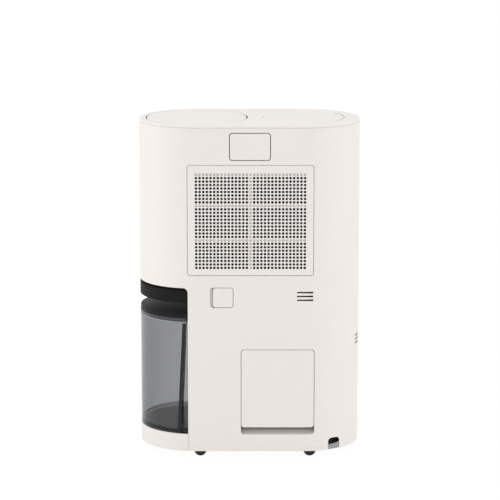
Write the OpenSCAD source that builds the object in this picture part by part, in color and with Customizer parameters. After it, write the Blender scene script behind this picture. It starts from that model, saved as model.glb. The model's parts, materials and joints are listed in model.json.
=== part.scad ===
// Compressor dehumidifier with a stadium footprint.
// The rear face looks towards -Y, the water tank is at the -X end, the floor is z = 0.
// Every module works in case coordinates, where z = 0 is the case's bottom edge.
// standing() then lifts it by the height at which the casters hold the case.

/* [Case] */
// Overall width of the case
body_w = 370; // [330:1:450]
// Overall depth of the case, which is also the diameter of its round ends
body_d = 188; // [176:1:230]
// Height of the case from its bottom edge to the top cover
case_h = 550; // [530:1:660]
// Wall thickness of the case shells
wall = 2.6; // [2:0.1:4]
// Height of the top cover above the case
cover_h = 4; // [3.5:0.1:6]
// Rounding of the top cover's edge
cover_round = 2; // [1:0.1:3]
// Gap between floor and case
ground_gap = 13; // [8:0.5:15]
// Visible seam between the two case halves
half_seam = 0.3; // [0.1:0.1:1]

/* [Covers in the rear wall] */
// Seam around the cord cover and the drain cover
seam = 1; // [0.8:0.1:2]
// Seam around the upper door
door_seam = 1.3; // [1:0.1:2]
// Seam around the filter cover
filter_seam = 0.6; // [0.5:0.1:1.5]
// Thickness of the covers
cover_t = 2.5; // [2:0.1:3]
// Corner radius of the large covers
cover_r = 4.5; // [2:0.5:8]
// Centre of the filter cover across the case
filter_x = 1.8; // [-10:0.1:10]
// Width of the filter cover
filter_w = 208.9; // [190:0.1:220]
// Bottom of the filter cover
filter_z = 302.7; // [290:0.1:305]
// Height of the filter cover
filter_h = 185.1; // [170:0.1:190]
// Columns of air holes
hole_cols = 31; // [21:2:33]
// Rows of air holes
hole_rows = 28; // [20:1:29]
// Spacing of the air holes across
hole_px = 6.0; // [5.6:0.01:6.2]
// Spacing of the air holes upwards
hole_pz = 5.82; // [5.6:0.01:6]
// Diameter of the air holes
hole_d = 4.5; // [2.5:0.1:4.8]
// Centre of the cord cover across the case
cord_x = 47.2; // [35:0.1:55]
// Width of the cord cover
cord_w = 121.5; // [100:0.1:125]
// Bottom of the cord cover
cord_z = 41.5; // [38:0.1:50]
// Height of the cord cover
cord_h = 133.4; // [110:0.1:140]
// Height of the cord slot below the cord cover
cord_slot = 12.4; // [8:0.1:14]
// Depth of the cord store
cord_depth = 36; // [28:1:40]
// Centre of the upper door across the case
door_x = 0.9; // [-20:0.1:20]
// Width of the upper door
door_w = 66.3; // [50:0.1:80]
// Bottom of the upper door
door_z = 496.9; // [488:0.1:500]
// Height of the upper door
door_h = 43.9; // [30:0.1:46]
// Left edge of the drain cover
drain_x0 = -60.8; // [-62:0.1:-55]
// Width of the drain cover
drain_w = 33.3; // [32:0.1:36]
// Bottom of the drain cover
drain_z = 248.3; // [240:0.1:252]
// Height of the drain cover
drain_h = 32.6; // [30:0.1:33.5]
// Width of the finger recess beside the drain cover
drain_scoop = 5.1; // [4:0.1:6]

/* [Tank and its bay] */
// Where the tank bay's edge cuts the case, across the case
bay_x = -102.8; // [-106:0.1:-98]
// Top of the cut in the case
bay_top = 280.5; // [268:0.5:284]
// Height of the dark band that closes the bay above
band_h = 25.1; // [15:0.1:28]
// Height of the recessed groove above the band
groove_h = 4; // [2:0.1:6]
// Height of the base skirt under the tank
skirt_h = 29.6; // [27:0.1:36]
// Inner end of the bay, across the case
bay_back = -72; // [-76:0.5:-71]
// Top of the tank's clear body
tank_top = 227; // [180:1:228]
// Height of the tank's lid
lid_h = 8.5; // [6:0.5:16]
// Wall thickness of the tank
tank_t = 2.2; // [1.6:0.1:3]
// Height of the thicker rim inside the tank's mouth
rim_h = 6.5; // [4:0.5:10]
// Extra thickness of that rim
rim_t = 1.6; // [1:0.1:3]
// Width of the solid rib along the sloping step
step_rib = 5.8; // [2.2:0.1:7]
// How far the tank's inner part stands back from its outer skin
tank_step = 7.2; // [6:0.1:10]
// Top end of the sloping step in the tank's side, across the case
step_top = -105.6; // [-108:0.1:-104]
// Bottom end of the sloping step
step_bottom = -115.5; // [-125:0.1:-105]

/* [Top] */
// Radius of the air outlet flap
flap_r = 83.8; // [76:0.1:85]
// Gap around the flap
flap_gap = 1.4; // [1:0.1:1.5]
// Distance of the flap's pivots from its rear edge
flap_in = 14.8; // [12:0.1:20]
// Radius of the control disc
disc_r = 67.5; // [50:0.5:68]
// Thickness of the control disc
disc_t = 1.8; // [1.2:0.1:2.4]

/* [Air and cooling] */
// Radius of the fan impeller
fan_r = 66; // [50:1:68]
// Length of the fan impeller
fan_len = 50; // [40:1:52]
// Blades of the fan impeller
blades = 32; // [20:1:40]
// Depth of each coil
coil_d = 24; // [18:1:24]
// Spacing of the coil fins
fin_pitch = 4; // [3:0.5:6]
// Number of tube passes in each coil
passes = 8; // [4:2:8]
// Diameter of the copper tubes
tube_d = 7; // [6:0.5:8]
// Radius of the compressor
comp_r = 52.5; // [45:0.5:53]
// Height of the compressor can
comp_h = 154; // [120:1:200]

/* [Casters] */
// Radius of a caster wheel
wheel_r = 10.3; // [9:0.1:11]
// Width of a caster wheel
wheel_w = 15; // [10:0.5:16]
// Trail from swivel axis to wheel axle
trail = 5; // [3:0.5:7]
// Swivel axes on the tank side, across the case
caster_x0 = -77.8; // [-90:0.1:-70]
// Swivel axes on the other side
caster_x1 = 106.6; // [90:0.1:115]
// Swivel axes from the middle, front to rear
caster_y = 69.5; // [55:0.5:70]

/* [Hidden] */

SHELL = "#e8e3de";
SHADE = "#d9d4cf";
DARK = "#2c2c2e";
SMOKE = [0.45, 0.46, 0.5, 0.5];
COPPER = "#b87333";

end_r = body_d / 2;                 // radius of the round ends
end_x = body_w / 2 - end_r;         // centre of each round end
big = body_w + body_d;              // longer than anything
fit = 0.3;                          // clearance between neighbouring pieces
run = 0.06;                         // radial running clearance of a pin

// inner chassis
in = wall + 0.4;                    // inset of pieces that stand inside the shells
pan_z = 19;                         // underside of the base pan's floor
pan_t = 2.5;
pan_top = pan_z + pan_t;
deck_t = 2.7;                       // thickness of the middle deck
band_z = bay_top - band_h;          // underside of the dark band
liner_t = 3;
liner_top = bay_top + 7;            // top of the liner's upstand
deck_z = liner_top + fit;
deck_top = deck_z + deck_t;
top_z = case_h + cover_h;           // top surface of the cover
lip_z = case_h - 3.5;               // lower edge of the cover's locating lip

// hinges of the large covers: pin distance from the outer face and from the cover's edge
hin_a = wall + 3.9;
hin_b = 10.5;
pin_r = 1;
hin_c = sqrt(hin_a * hin_a + hin_b * hin_b) - hin_b + 0.35;
flange_d = hin_a + 1.5;
pocket_t = 3;
pocket_lip = 1.6;                   // thickness of the cord pocket's lower lip
rib_top = min(skirt_h - liner_t, cord_z - cord_slot - pocket_lip) - 0.2;
// hinges of the small covers
dr_a = wall + 1.4;
dr_b = 6.5;
dr_c = sqrt(dr_a * dr_a + dr_b * dr_b) - dr_b + 0.35;
dr_flange = dr_a + 1.4;
do_a = 1.6;
do_pin = 0.9;
do_b = 4.9 + do_pin;

rear_y = -end_r;                    // rear face
in_y = rear_y + wall;               // inner face of the rear wall
filter_axis = [0, rear_y + hin_a, filter_z + hin_b];
cord_axis = [0, rear_y + hin_a, cord_z + cord_h - hin_b];
drain_axis = [drain_x0 + drain_w - dr_b, rear_y + dr_a, 0];
door_axis = [door_x + door_w / 2 - do_b, rear_y + do_a, 0];

// tank
tank_z = skirt_h + fit;
lid_top = tank_top + lid_h;
skin = 0.8;                         // the tank stands this far inside the case's outline
lip_in = tank_t + rim_t + 0.4;      // the lid's lip, inside the tank's rim
drip = [bay_back - 16, -50];        // where the condensate falls into the tank
post = [bay_back - 13, 28];         // float post
post_r = 2.5;

sensor = [92.6, 266.9];             // middle of the rear sensor slots

// coils, front to back behind the filter
coil_y0 = rear_y + 18;
coil_gap = 4;
cond_y0 = coil_y0 + coil_d + coil_gap;
coil_y1 = cond_y0 + coil_d;
coil_x0 = filter_x - 94;
coil_x1 = filter_x + 94;
plate_t = 2;
tray_t = 2;
tray_h = 15;
coil_z0 = deck_top + tray_h + 2;
coil_z1 = filter_z + filter_h - 5;
pass_z0 = coil_z0 + 11;
pass_p = (coil_z1 - coil_z0 - 22) / (passes - 1);
spout = [drain_x0 + drain_w / 2 - 3, -52, drain_z + drain_h / 2 - 1];
spout_r = 6.5;                      // the end that takes the hose
spout_neck = 5.9;                   // the rest, through the pocket's back wall
spout_len = 13;
spout_bore = 4.5;
pocket_back = rear_y + 32;          // back wall of the drain pocket

// fan
fan_x = -30;
fan_z = deck_top + 101;
fan_y0 = coil_y1 + 4;               // front of the scroll
fan_y1 = fan_y0 + fan_len + 15;     // back of the scroll
scroll_0 = fan_r + 10;              // radius at the tongue
scroll_1 = fan_r + 32;              // radius where the outlet begins
scroll_t = 2;
duct_w = 70;
tongue = acos((duct_w + 4 - scroll_1) / scroll_0);
shaft_r = 4;
motor_r = 36;
motor_len = 36;
louvre_z0 = case_h - 29;
louvre_z1 = case_h - 18.5;
flap_x = 2.5 - end_x;
flap_t = 2.5;
flap_axis = [flap_x, flap_in - flap_r, top_z - 1.3];
flap_pin = 0.9;
flap_chord = sqrt(flap_r * flap_r - flap_axis[1] * flap_axis[1]);

// compressor
comp = [75, 30];
foot_h = 8;
comp_z = pan_top + foot_h + 2;
stud_at = 62;
stud_r = 3;
comp_round = 20;
acc = [comp[0] - 77, comp[1] + 10];
acc_r = 19;

// casters
axle_z = wheel_r - ground_gap;
axle_r = 1.5;
stem_r = 3;
fork_top = pan_z - fit;
fork_t = 2.8;
cheek_t = 2;
cheek_y = wheel_w / 2 + 0.4;
legs = [[150, -45], [150, 45], [-45, 72], [-25, -42]];

// ---------------------------------------------------------------- basic shapes

module standing() {
  translate([0, 0, ground_gap]) children();
}

// plan outline of the body, drawn in by i
module stadium(i = 0) {
  r = end_r - i;
  translate([-end_x, -r]) square([2 * end_x, 2 * r]);
  for (s = [-1, 1]) translate([s * end_x, 0]) circle(r = r, $fn = 96);
}

module slab(i, z0, z1) {
  translate([0, 0, z0]) linear_extrude(z1 - z0) stadium(i);
}

module ring(i0, i1, z0, z1) {
  translate([0, 0, z0]) linear_extrude(z1 - z0) difference() {
    stadium(i0);
    stadium(i1);
  }
}

module block(x0, x1, y0, y1, z0, z1) {
  translate([x0, y0, z0]) cube([x1 - x0, y1 - y0, z1 - z0]);
}

// rectangle with round corners, from corner to corner
module rrect(x0, y0, x1, y1, r) {
  translate([x0 + r, y0]) square([x1 - x0 - 2 * r, y1 - y0]);
  translate([x0, y0 + r]) square([x1 - x0, y1 - y0 - 2 * r]);
  for (x = [x0 + r, x1 - r], y = [y0 + r, y1 - r]) translate([x, y]) circle(r = r, $fn = 32);
}

// prism through the rear wall, drawn in X and Z
module rear_prism(x0, z0, x1, z1, r, y0, y1) {
  translate([0, y1, 0]) rotate([90, 0, 0]) linear_extrude(y1 - y0) rrect(x0, z0, x1, z1, r);
}

module rod(p, r, len, dir = "z") {
  turn = dir == "x" ? [0, 90, 0] : dir == "y" ? [-90, 0, 0] : [0, 0, 0];
  translate(p) rotate(turn) cylinder(r = r, h = len, $fn = 48);
}

// can with rounded ends
module can(r, h, round) {
  rotate_extrude($fn = 96) {
    square([r - round, h]);
    translate([0, round]) square([r, h - 2 * round]);
    for (z = [round, h - round]) translate([r - round, z]) circle(r = round, $fn = 48);
  }
}

// pipe along points whose runs follow the axes, with bends of radius rb
module frame_at(x, y, z, p) {
  multmatrix([[x[0], y[0], z[0], p[0]], [x[1], y[1], z[1], p[1]],
              [x[2], y[2], z[2], p[2]], [0, 0, 0, 1]]) children();
}

function unit(v) = v / norm(v);

module pipe(pts, d, rb) {
  n = len(pts);
  for (k = [0:n - 2]) {
    a = unit(pts[k + 1] - pts[k]);
    side = abs(a[2]) > 0.5 ? [1, 0, 0] : [0, 0, 1];
    from = pts[k] + a * (k > 0 ? rb : 0);
    to = pts[k + 1] - a * (k < n - 2 ? rb : 0);
    frame_at(side, cross(a, side), a, from) cylinder(d = d, h = norm(to - from), $fn = 24);
  }
  for (k = [1:n - 2]) {
    a = unit(pts[k] - pts[k - 1]);
    b = unit(pts[k + 1] - pts[k]);
    frame_at(-b, a, cross(a, b), pts[k] - a * rb + b * rb)
      rotate_extrude(angle = 90, $fn = 48) translate([rb, 0]) circle(d = d, $fn = 24);
  }
}

// ---------------------------------------------------------------- case

// one upright shell; side -1 is the rear half, 1 the front half
module half_shell(side) {
  difference() {
    linear_extrude(case_h) difference() {
      stadium(0);
      stadium(wall);
      translate([-big, side > 0 ? half_seam / 2 - 2 * big : -half_seam / 2])
        square([2 * big, 2 * big]);
    }
    rear_prism(-big, -60, bay_x, bay_top, 8, -big, big);
  }
}

module rear_case() {
  color(SHELL) standing() difference() {
    half_shell(-1);
    cover_hole(filter_x - filter_w / 2, filter_z, filter_x + filter_w / 2,
               filter_z + filter_h, cover_r, filter_seam);
    cover_hole(cord_x - cord_w / 2, cord_z - cord_slot + seam, cord_x + cord_w / 2,
               cord_z + cord_h, cover_r, seam);
    cover_hole(door_x - door_w / 2, door_z, door_x + door_w / 2, door_z + door_h, 4, door_seam);
    cover_hole(drain_x0 - drain_scoop + seam, drain_z, drain_x0 + drain_w,
               drain_z + drain_h, 4, seam);
    // sockets of the upper door's pins
    rod([door_axis[0], door_axis[1], door_z - door_seam - 2.2], do_pin + run,
        door_h + 2 * door_seam + 4.4);
    // sensor slots in the rear and in the round end
    for (k = [-1:1]) {
      rear_prism(sensor[0] - 13.5, sensor[1] - 1.1 + k * 6.5, sensor[0] + 13.5,
                 sensor[1] + 1.1 + k * 6.5, 1.05, -big, -40);
      translate([end_x + 40, 0, 179.3 + k * 6.5]) rotate([90, 0, 90])
        linear_extrude(end_r) rrect(-34, -1.1, -7, 1.1, 1.05);
    }
    cord_notch();
  }
}

// hole for a cover, one seam larger than the cover, wider behind the face for the cover's swing
module cover_hole(x0, z0, x1, z1, r, gap) {
  for (step = [[0, 0], [0.5, 1.1], [1.4, 1.6]]) {
    g = max(gap, step[1]);
    intersection() {
      slab(step[0] > 0 ? step[0] : -1, z0 - 9, z1 + 9);
      rear_prism(x0 - g, z0 - g, x1 + g, z1 + g, r + g, -big, -40);
    }
  }
}

notch_x = end_x + 51.1;
notch_w = 19;
notch_h = 20;
gland_r = 3.5;
gland_z = 14.4;
notch_wall = 9;                    // height of the grey wall at the foot of the notch

module cord_notch() {
  rear_prism(notch_x - notch_w / 2, -notch_h, notch_x + notch_w / 2, notch_h, 6, -big, -52);
}

module front_case() {
  color(SHELL) standing() half_shell(1);
}

// profile of the cover's edge: x outwards, y upwards
module edge_profile(r, z0, z1, f) {
  translate([0, z0]) square([r - f, z1 - z0]);
  translate([0, z0]) square([r, z1 - z0 - f]);
  translate([r - f, z1 - f]) circle(r = f, $fn = 48);
}

module top_cover() {
  color(SHELL) standing() difference() {
    union() {
      for (s = [0, 180]) rotate([0, 0, s]) translate([end_x, 0, 0]) rotate([0, 0, -90])
        rotate_extrude(angle = 180, $fn = 96)
          edge_profile(end_r, case_h + fit, top_z, cover_round);
      translate([-end_x, 0, 0]) rotate([90, 0, 90]) linear_extrude(2 * end_x) {
        edge_profile(end_r, case_h + fit, top_z, cover_round);
        mirror([1, 0]) edge_profile(end_r, case_h + fit, top_z, cover_round);
      }
      ring(in, in + 2, lip_z, case_h + 1);
      for (x = [board_x0 + 6, board_x1 - 6], y = [-board_y + 6, board_y - 6])
        rod([x, y, board_z + board_t], 3.5, case_h + 1 - board_z - board_t);
    }
    rod([flap_x, 0, lip_z - 1], flap_r + flap_gap, cover_h + 20, "z");
    rod([flap_x - flap_chord - 4.6, flap_axis[1], flap_axis[2]], flap_pin + run,
        2 * flap_chord + 9.2, "x");
    rod([end_x, 0, top_z - disc_t], disc_r + fit, 10);
    light_holes();
  }
}

board_x0 = 5;
board_x1 = 130;
board_y = 28;
board_t = 1.6;
board_z = case_h - 10;
lights = [12.7, 55.7, 74];
dash_x = 31.9;

module light_holes(c = 0.1) {
  for (x = lights) rod([x, 0, case_h - 5], 1.1 + c, cover_h + 10);
  translate([0, 0, case_h - 5]) linear_extrude(cover_h + 10)
    rrect(dash_x - 3 - c, -0.8 - c, dash_x + 3 + c, 0.8 + c, 0.7);
}

module control_disc() {
  color(SHELL) standing() difference() {
    rod([end_x, 0, top_z - disc_t], disc_r, disc_t);
    light_holes();
  }
}

module light_guides() {
  color("white") standing() intersection() {
    light_holes(0);
    slab(10, board_z + board_t, top_z);
  }
}

module control_board() {
  color("darkgreen") standing() {
    difference() {
      block(board_x0, board_x1, -board_y, board_y, board_z, board_z + board_t);
      for (x = [board_x0 + 25, board_x1 - 25]) rod([x, board_y - 8, board_z - 1], 1.6, 4);
    }
    block(85, 115, 8, 22, board_z + board_t, board_z + board_t + 5);
    block(20, 45, -22, -8, board_z - 6, board_z);
    block(60, 74, -20, -6, board_z - 3, board_z);
  }
}

// ---------------------------------------------------------------- base and inner chassis

module base_pan() {
  color(SHELL) standing() difference() {
    union() {
      // flush skirt below the tank, and the rib that stands inside the shells
      intersection() {
        union() {
          ring(0, wall, 0, skirt_h);
          slab(1, pan_z, pan_top);
        }
        block(-big, bay_x - fit, -big, big, -1, skirt_h);
      }
      intersection() {
        union() {
          ring(in, in + 2.5, 1, rib_top);
          slab(in, pan_z, pan_top);
        }
        block(bay_x - 6, big, -big, big, -1, skirt_h);
      }
      for (c = caster_places()) rod([c[0], c[1], pan_z], 7, skirt_h - liner_t - 0.2 - pan_z);
      for (a = [30, 150, 270]) rod([comp[0] + stud_at * cos(a), comp[1] + stud_at * sin(a),
                                    pan_z + 1], stud_r, foot_h + 9);
      // stiffening ribs under the compressor
      for (y = [-30, 0, 30]) block(-55, 140, y - 1, y + 1, pan_z - 6, pan_z + 1);
      for (x = [-55, 5, 65]) block(x - 1, x + 1, -70, 70, pan_z - 6, pan_z + 1);
    }
    for (c = caster_places()) rod([c[0], c[1], pan_z - 1], stem_r + run, 8);
    for (p = legs) rod([p[0], p[1], pan_z - 8], 2, 16);
    for (p = legs) rod([p[0], p[1], pan_z - 8], 5, 8);
    cord_notch();
  }
}

function caster_places() = [for (x = [caster_x0, caster_x1], y = [-caster_y, caster_y]) [x, y]];

// C-shaped moulding round the tank: deck, back wall and the dark band above
module bay_liner() {
  color(DARK) standing() difference() {
    union() {
      intersection() {
        slab(in, skirt_h - liner_t, skirt_h);
        block(-big, bay_back + 2.5, -big, big, 0, skirt_h);
      }
      intersection() {
        slab(in, skirt_h - liner_t, band_z + 1);
        block(bay_back, bay_back + 2.5, -big, big, 0, band_z + 1);
      }
      intersection() {
        slab(in, band_z, liner_top);
        block(-big, bay_back + 2.5, -big, big, 0, liner_top);
      }
      // band that carries on the case's outline below a groove
      intersection() {
        slab(0, band_z, bay_top - groove_h);
        rear_prism(-big, 0, bay_x - fit, bay_top - groove_h, 5, -big, big);
      }
    }
    // groove under the case's edge
    intersection() {
      ring(-1, in + 2, bay_top - groove_h, bay_top + fit);
      block(-big, bay_x + 1, -big, big, 0, bay_top + fit);
    }
    intersection() {
      slab(in + 4.5, band_z + liner_t, liner_top + 1);
      block(-big, bay_back, -big, big, 0, liner_top + 1);
    }
    rod([drip[0], drip[1], band_z - 1], 8, 10);
    // window of the level sensor
    block(bay_back - 1, bay_back + 4, post[1] - 6, post[1] + 6, tank_top - 30, tank_top - 18);
  }
}

module mid_deck() {
  color("dimgray") standing() difference() {
    union() {
      slab(in, deck_z, deck_top);
      for (p = legs) rod([p[0], p[1], pan_top], 5, deck_z - pan_top + 1);
      for (p = legs) translate([p[0], p[1], deck_z - 12]) cylinder(r1 = 5, r2 = 11, h = 12.5, $fn = 48);
    }
    for (p = legs) rod([p[0], p[1], pan_top - 1], 1.95, 16);
    rod([drip[0], drip[1], deck_z - 1], 7.4, 6);
    rod([spout[0], spout[1], deck_z - 1], spout_r + 0.4, 6);
    for (p = [pipe_s, pipe_d]) rod([p[0], p[1], deck_z - 1], tube_d / 2 + 1.5, 6);
  }
}

module chassis_screws() {
  color("silver") standing() for (p = legs) difference() {
    union() {
      rod([p[0], p[1], pan_z - 2.4], 3.6, 2.4);
      rod([p[0], p[1], pan_z - 1], 1.9, 15);
    }
    rod([p[0], p[1], pan_z - 3], 1.2, 1.6);
  }
}

// ---------------------------------------------------------------- pockets behind the covers

// lining of a cover's opening: four walls, and a back where yb is given
module lining(x0, z0, x1, z1, t, yb, back) {
  difference() {
    intersection() {
      slab(wall + 0.2, z0 - t, z1 + t);
      block(x0 - t, x1 + t, rear_y, yb, z0 - t, z1 + t);
    }
    block(x0, x1, -big, back > 0 ? yb - back : big, z0, z1);
  }
}

module inlet_frame() {
  color(SHADE) standing() difference() {
    lining(filter_x - filter_w / 2 - hin_c, filter_z - hin_c, filter_x + filter_w / 2 + hin_c,
           filter_z + filter_h + seam, pocket_t, coil_y0 - 3.5, 0);
    rod([-big / 2, filter_axis[1], filter_axis[2]], pin_r + run, big, "x");
  }
}

module cord_pocket() {
  x0 = cord_x - cord_w / 2 - hin_c;
  x1 = cord_x + cord_w / 2 + hin_c;
  z1 = cord_z + cord_h + hin_c;
  z0 = cord_z - cord_slot;
  yb = rear_y + wall + cord_depth;
  color(SHADE) standing() difference() {
    union() {
      intersection() {
        slab(wall + 0.2, 0, z1 + pocket_t);
        translate([x0 - pocket_t, 0, 0]) rotate([90, 0, 90]) linear_extrude(x1 - x0 + 2 * pocket_t)
          polygon([[rear_y, z0 - pocket_lip], [in_y, z0 - pocket_lip], [yb - 18, cord_z - pocket_t],
                   [yb + 2, cord_z - pocket_t], [yb + 2, z1 + pocket_t], [rear_y, z1 + pocket_t]]);
      }
    }
    difference() {
      translate([x0, 0, 0]) rotate([90, 0, 90]) linear_extrude(x1 - x0)
        polygon([[-big, z0], [in_y, z0], [yb - 18, cord_z], [yb, cord_z], [yb, z1], [-big, z1]]);
      // two hooks that the cord is wound on
      for (z = [cord_z + 24, cord_z + 95]) {
        rod([cord_x, yb - 22, z], 7, 24, "y");
        block(cord_x - 14, cord_x + 14, yb - 22, yb - 18, z - 9, z + 9);
      }
    }
    rod([-big / 2, cord_axis[1], cord_axis[2]], pin_r + run, big, "x");
  }
}

module drain_pocket() {
  x0 = drain_x0 - drain_scoop;
  x1 = drain_x0 + drain_w + dr_c;
  color(SHADE) standing() difference() {
    lining(x0, drain_z - dr_c, x1, drain_z + drain_h + dr_c, 2, pocket_back, 2);
    rod([drain_axis[0], drain_axis[1], 0], pin_r + run, case_h);
    rod([spout[0], pocket_back - 5, spout[2]], spout_neck + 0.25, 10, "y");
  }
  // sloping finger dish beside the cover
  color(SHADE) standing() intersection() {
    translate([0, 0, drain_z - dr_c]) linear_extrude(drain_h + 2 * dr_c)
      polygon([[x0 - 1, in_y + 0.4], [x0 + 0.3, in_y + 0.4], [x0 + 0.3, rear_y + 1.4],
               [x0 + 1.3, rear_y + 1.8], [x0 + drain_scoop - 0.35, rear_y + 7],
               [x0 + drain_scoop - 0.35, rear_y + 9], [x0 - 1, rear_y + 9]]);
    union() {
      rear_prism(x0 + 0.3, drain_z - seam + 0.4, drain_x0 + drain_w, drain_z + drain_h + seam - 0.4,
                 5, -big, in_y + 0.5);
      block(-big, big, in_y + 0.3, 0, 0, case_h);
    }
  }
}

module door_pocket() {
  color(SHADE) standing()
    lining(door_x - door_w / 2 - door_seam, door_z - door_seam, door_x + door_w / 2 + door_seam,
           door_z + door_h + door_seam, 1.8, rear_y + 26, 1.8);
}

// ---------------------------------------------------------------- covers

// a cover that follows the case, with a flange round its back
module cover_shell(x0, z0, x1, z1, r, t, deep) {
  difference() {
    intersection() {
      slab(0, z0 - 5, z1 + 5);
      rear_prism(x0, z0, x1, z1, r, -big, rear_y + deep);
    }
    intersection() {
      slab(t, z0 - 5, z1 + 5);
      rear_prism(x0 + 2, z0 + 2, x1 - 2, z1 - 2, max(r - 2, 1), -big, rear_y + deep + 1);
    }
  }
}

module filter_cover() {
  x0 = filter_x - filter_w / 2;
  x1 = filter_x + filter_w / 2;
  color(SHELL) standing() {
    difference() {
      cover_shell(x0, filter_z, x1, filter_z + filter_h, cover_r, cover_t, flange_d);
      translate([filter_x - (hole_cols - 1) / 2 * hole_px, -60, hole_z0]) rotate([90, 0, 0])
        linear_extrude(60) for (i = [0:hole_cols - 1], j = [0:hole_rows - 1])
          translate([i * hole_px, j * hole_pz]) circle(d = hole_d, $fn = 16);
    }
    side_pins(x0, x1, filter_axis);
  }
}

hole_z0 = filter_z + (filter_h - (hole_rows - 1) * hole_pz) / 2 - 1.2;

// hinge pins that stand out of a cover's two side flanges
module side_pins(x0, x1, axis) {
  rod([x0 - hin_c - pocket_t + 0.6, axis[1], axis[2]], pin_r, hin_c + pocket_t, "x");
  rod([x1 - 0.6, axis[1], axis[2]], pin_r, hin_c + pocket_t, "x");
}

filter_y = rear_y + cover_t + 0.3;  // front of the filter frame

module filter_frame() {
  x0 = filter_x - filter_w / 2 + 2.4;
  x1 = filter_x + filter_w / 2 - 2.4;
  z0 = filter_z + 2.4;
  z1 = filter_z + filter_h - 2.4;
  rib = 4;
  color(SHELL) standing() intersection() {
    slab(cover_t + 0.3, z0, z1);
    union() {
      difference() {
        rear_prism(x0, z0, x1, z1, 3, -big, filter_y + 3.4);
        block(x0 + 7, x1 - 7, -big, 0, z0 + 7, z1 - 7);
      }
      block(filter_x - rib / 2, filter_x + rib / 2, filter_y, filter_y + 1.8, z0, z1);
      for (j = [hole_rows - 1, hole_rows - 10, hole_rows - 20])
        block(x0, x1, filter_y, filter_y + 1.8,
              hole_z0 + j * hole_pz - rib / 2, hole_z0 + j * hole_pz + rib / 2);
    }
  }
}

module filter_mesh() {
  x0 = filter_x - filter_w / 2 + 2.4 + 7.2;
  x1 = filter_x + filter_w / 2 - 2.4 - 7.2;
  color("#1f2022") standing()
    block(x0, x1, filter_y + 2, filter_y + 2.8, filter_z + 9.6, filter_z + filter_h - 9.6);
}

module upper_door() {
  x0 = door_x - door_w / 2;
  x1 = door_x + door_w / 2;
  color(SHELL) standing() {
    intersection() {
      slab(0, door_z - 5, door_z + door_h + 5);
      rear_prism(x0, door_z, x1, door_z + door_h, 4, -big, rear_y + cover_t);
    }
    for (z = [door_z - door_seam - 2, door_z + door_h - 1])
      rod([door_axis[0], door_axis[1], z], do_pin, door_seam + 3);
    // stiffening frame on the back, clear of the hinge
    difference() {
      block(x0 + 3, door_axis[0] - 5, rear_y + cover_t - 0.5, rear_y + cover_t + 3,
            door_z + 3, door_z + door_h - 3);
      block(x0 + 4.5, door_axis[0] - 6.5, rear_y, rear_y + cover_t + 4,
            door_z + 4.5, door_z + door_h - 4.5);
    }
  }
}

module drain_cover() {
  z1 = drain_z + drain_h;
  color(SHELL) standing() {
    cover_shell(drain_x0, drain_z, drain_x0 + drain_w, z1, 3.5, 2.2, dr_flange);
    for (z = [drain_z - dr_c - 1.6, z1 - 0.6])
      rod([drain_axis[0], drain_axis[1], z], pin_r, dr_c + 2.2);
  }
}

module cord_cover() {
  x0 = cord_x - cord_w / 2;
  x1 = cord_x + cord_w / 2;
  color(SHELL) standing() {
    cover_shell(x0, cord_z, x1, cord_z + cord_h, cover_r, cover_t, flange_d);
    side_pins(x0, x1, cord_axis);
    for (z = [cord_z + 40, cord_z + 85])
      block(x0 + 1, x1 - 1, rear_y + cover_t - 0.5, rear_y + cover_t + 2.5, z, z + 1.6);
  }
}

module drain_plug() {
  tip = pocket_back - 16;           // mouth of the spout
  color("#3a3a3c") standing() {
    rod([spout[0], tip - 2, spout[2]], spout_bore - 0.05, 9, "y");
    rod([spout[0], tip - 2, spout[2]], 6, 1.9, "y");
    block(spout[0] - 1, spout[0] + 1, tip - 5, tip - 1.5, spout[2] - 4, spout[2] + 4);
  }
}

// insert at the foot of the notch, with the bush that the mains cord comes through
module cord_gland() {
  y0 = -sqrt(pow(end_r - wall, 2) - pow(notch_x - end_x + notch_w / 2, 2)) + 0.3;
  color("#8f8f8f") standing() difference() {
    union() {
      block(notch_x - notch_w / 2 + 0.2, notch_x + notch_w / 2 - 0.2, y0, y0 + 2.5,
            1, notch_wall);
      block(notch_x - notch_w / 2 + 0.2, notch_x + notch_w / 2 - 0.2, y0, y0 + 18,
            7.8, notch_wall);
      block(notch_x - 6.5, notch_x + 6.5, y0 + 5, y0 + 18, 7.8, pan_z - 0.2);
    }
    rod([notch_x, y0 - 1, gland_z], gland_r, 30, "y");
  }
}

// ---------------------------------------------------------------- tank

// the tank's form, drawn in by i: flush end part, sloping step and narrower inner part
module tank_form(i, z0, z1, flat = false, rib = 0) {
  slope = (step_top - step_bottom) / (tank_top - tank_z);
  xb = flat ? bay_x - fit : step_bottom + (z0 - tank_z) * slope;
  xt = flat ? bay_x - fit : step_bottom + (z1 - tank_z) * slope;
  intersection() {
    slab(skin + i, z0, z1);
    translate([0, big, 0]) rotate([90, 0, 0]) linear_extrude(2 * big)
      polygon([[-big, z0 - 1], [xb - i - rib, z0 - 1], [xb - i - rib, z0], [xt - i - rib, z1],
               [xt - i - rib, z1 + 1], [-big, z1 + 1]]);
  }
  intersection() {
    slab(skin + tank_step + i, z0, z1);
    block(-big, bay_back - 0.4 - i, -big, big, z0, z1);
  }
}

module tank() {
  color(SMOKE) standing() difference() {
    tank_form(0, tank_z, tank_top);
    tank_form(tank_t, tank_z + 2.5, tank_top - rim_h, rib = step_rib - tank_t);
    tank_form(tank_t + rim_t, tank_top - rim_h - 1, tank_top + 1);
  }
}

module tank_lid() {
  color(DARK) standing() {
    difference() {
      tank_form(0, tank_top + 0.1, lid_top, true);
      tank_form(2.2, tank_top - 1, lid_top - 2.5, true);
      rod([drip[0], drip[1], tank_top], 9, lid_h + 10);
    }
    // lip that drops into the tank
    difference() {
      tank_form(lip_in, tank_top - 4, lid_top - 1);
      tank_form(lip_in + 1.6, tank_top - 5, lid_top + 1);
    }
  }
}

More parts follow.
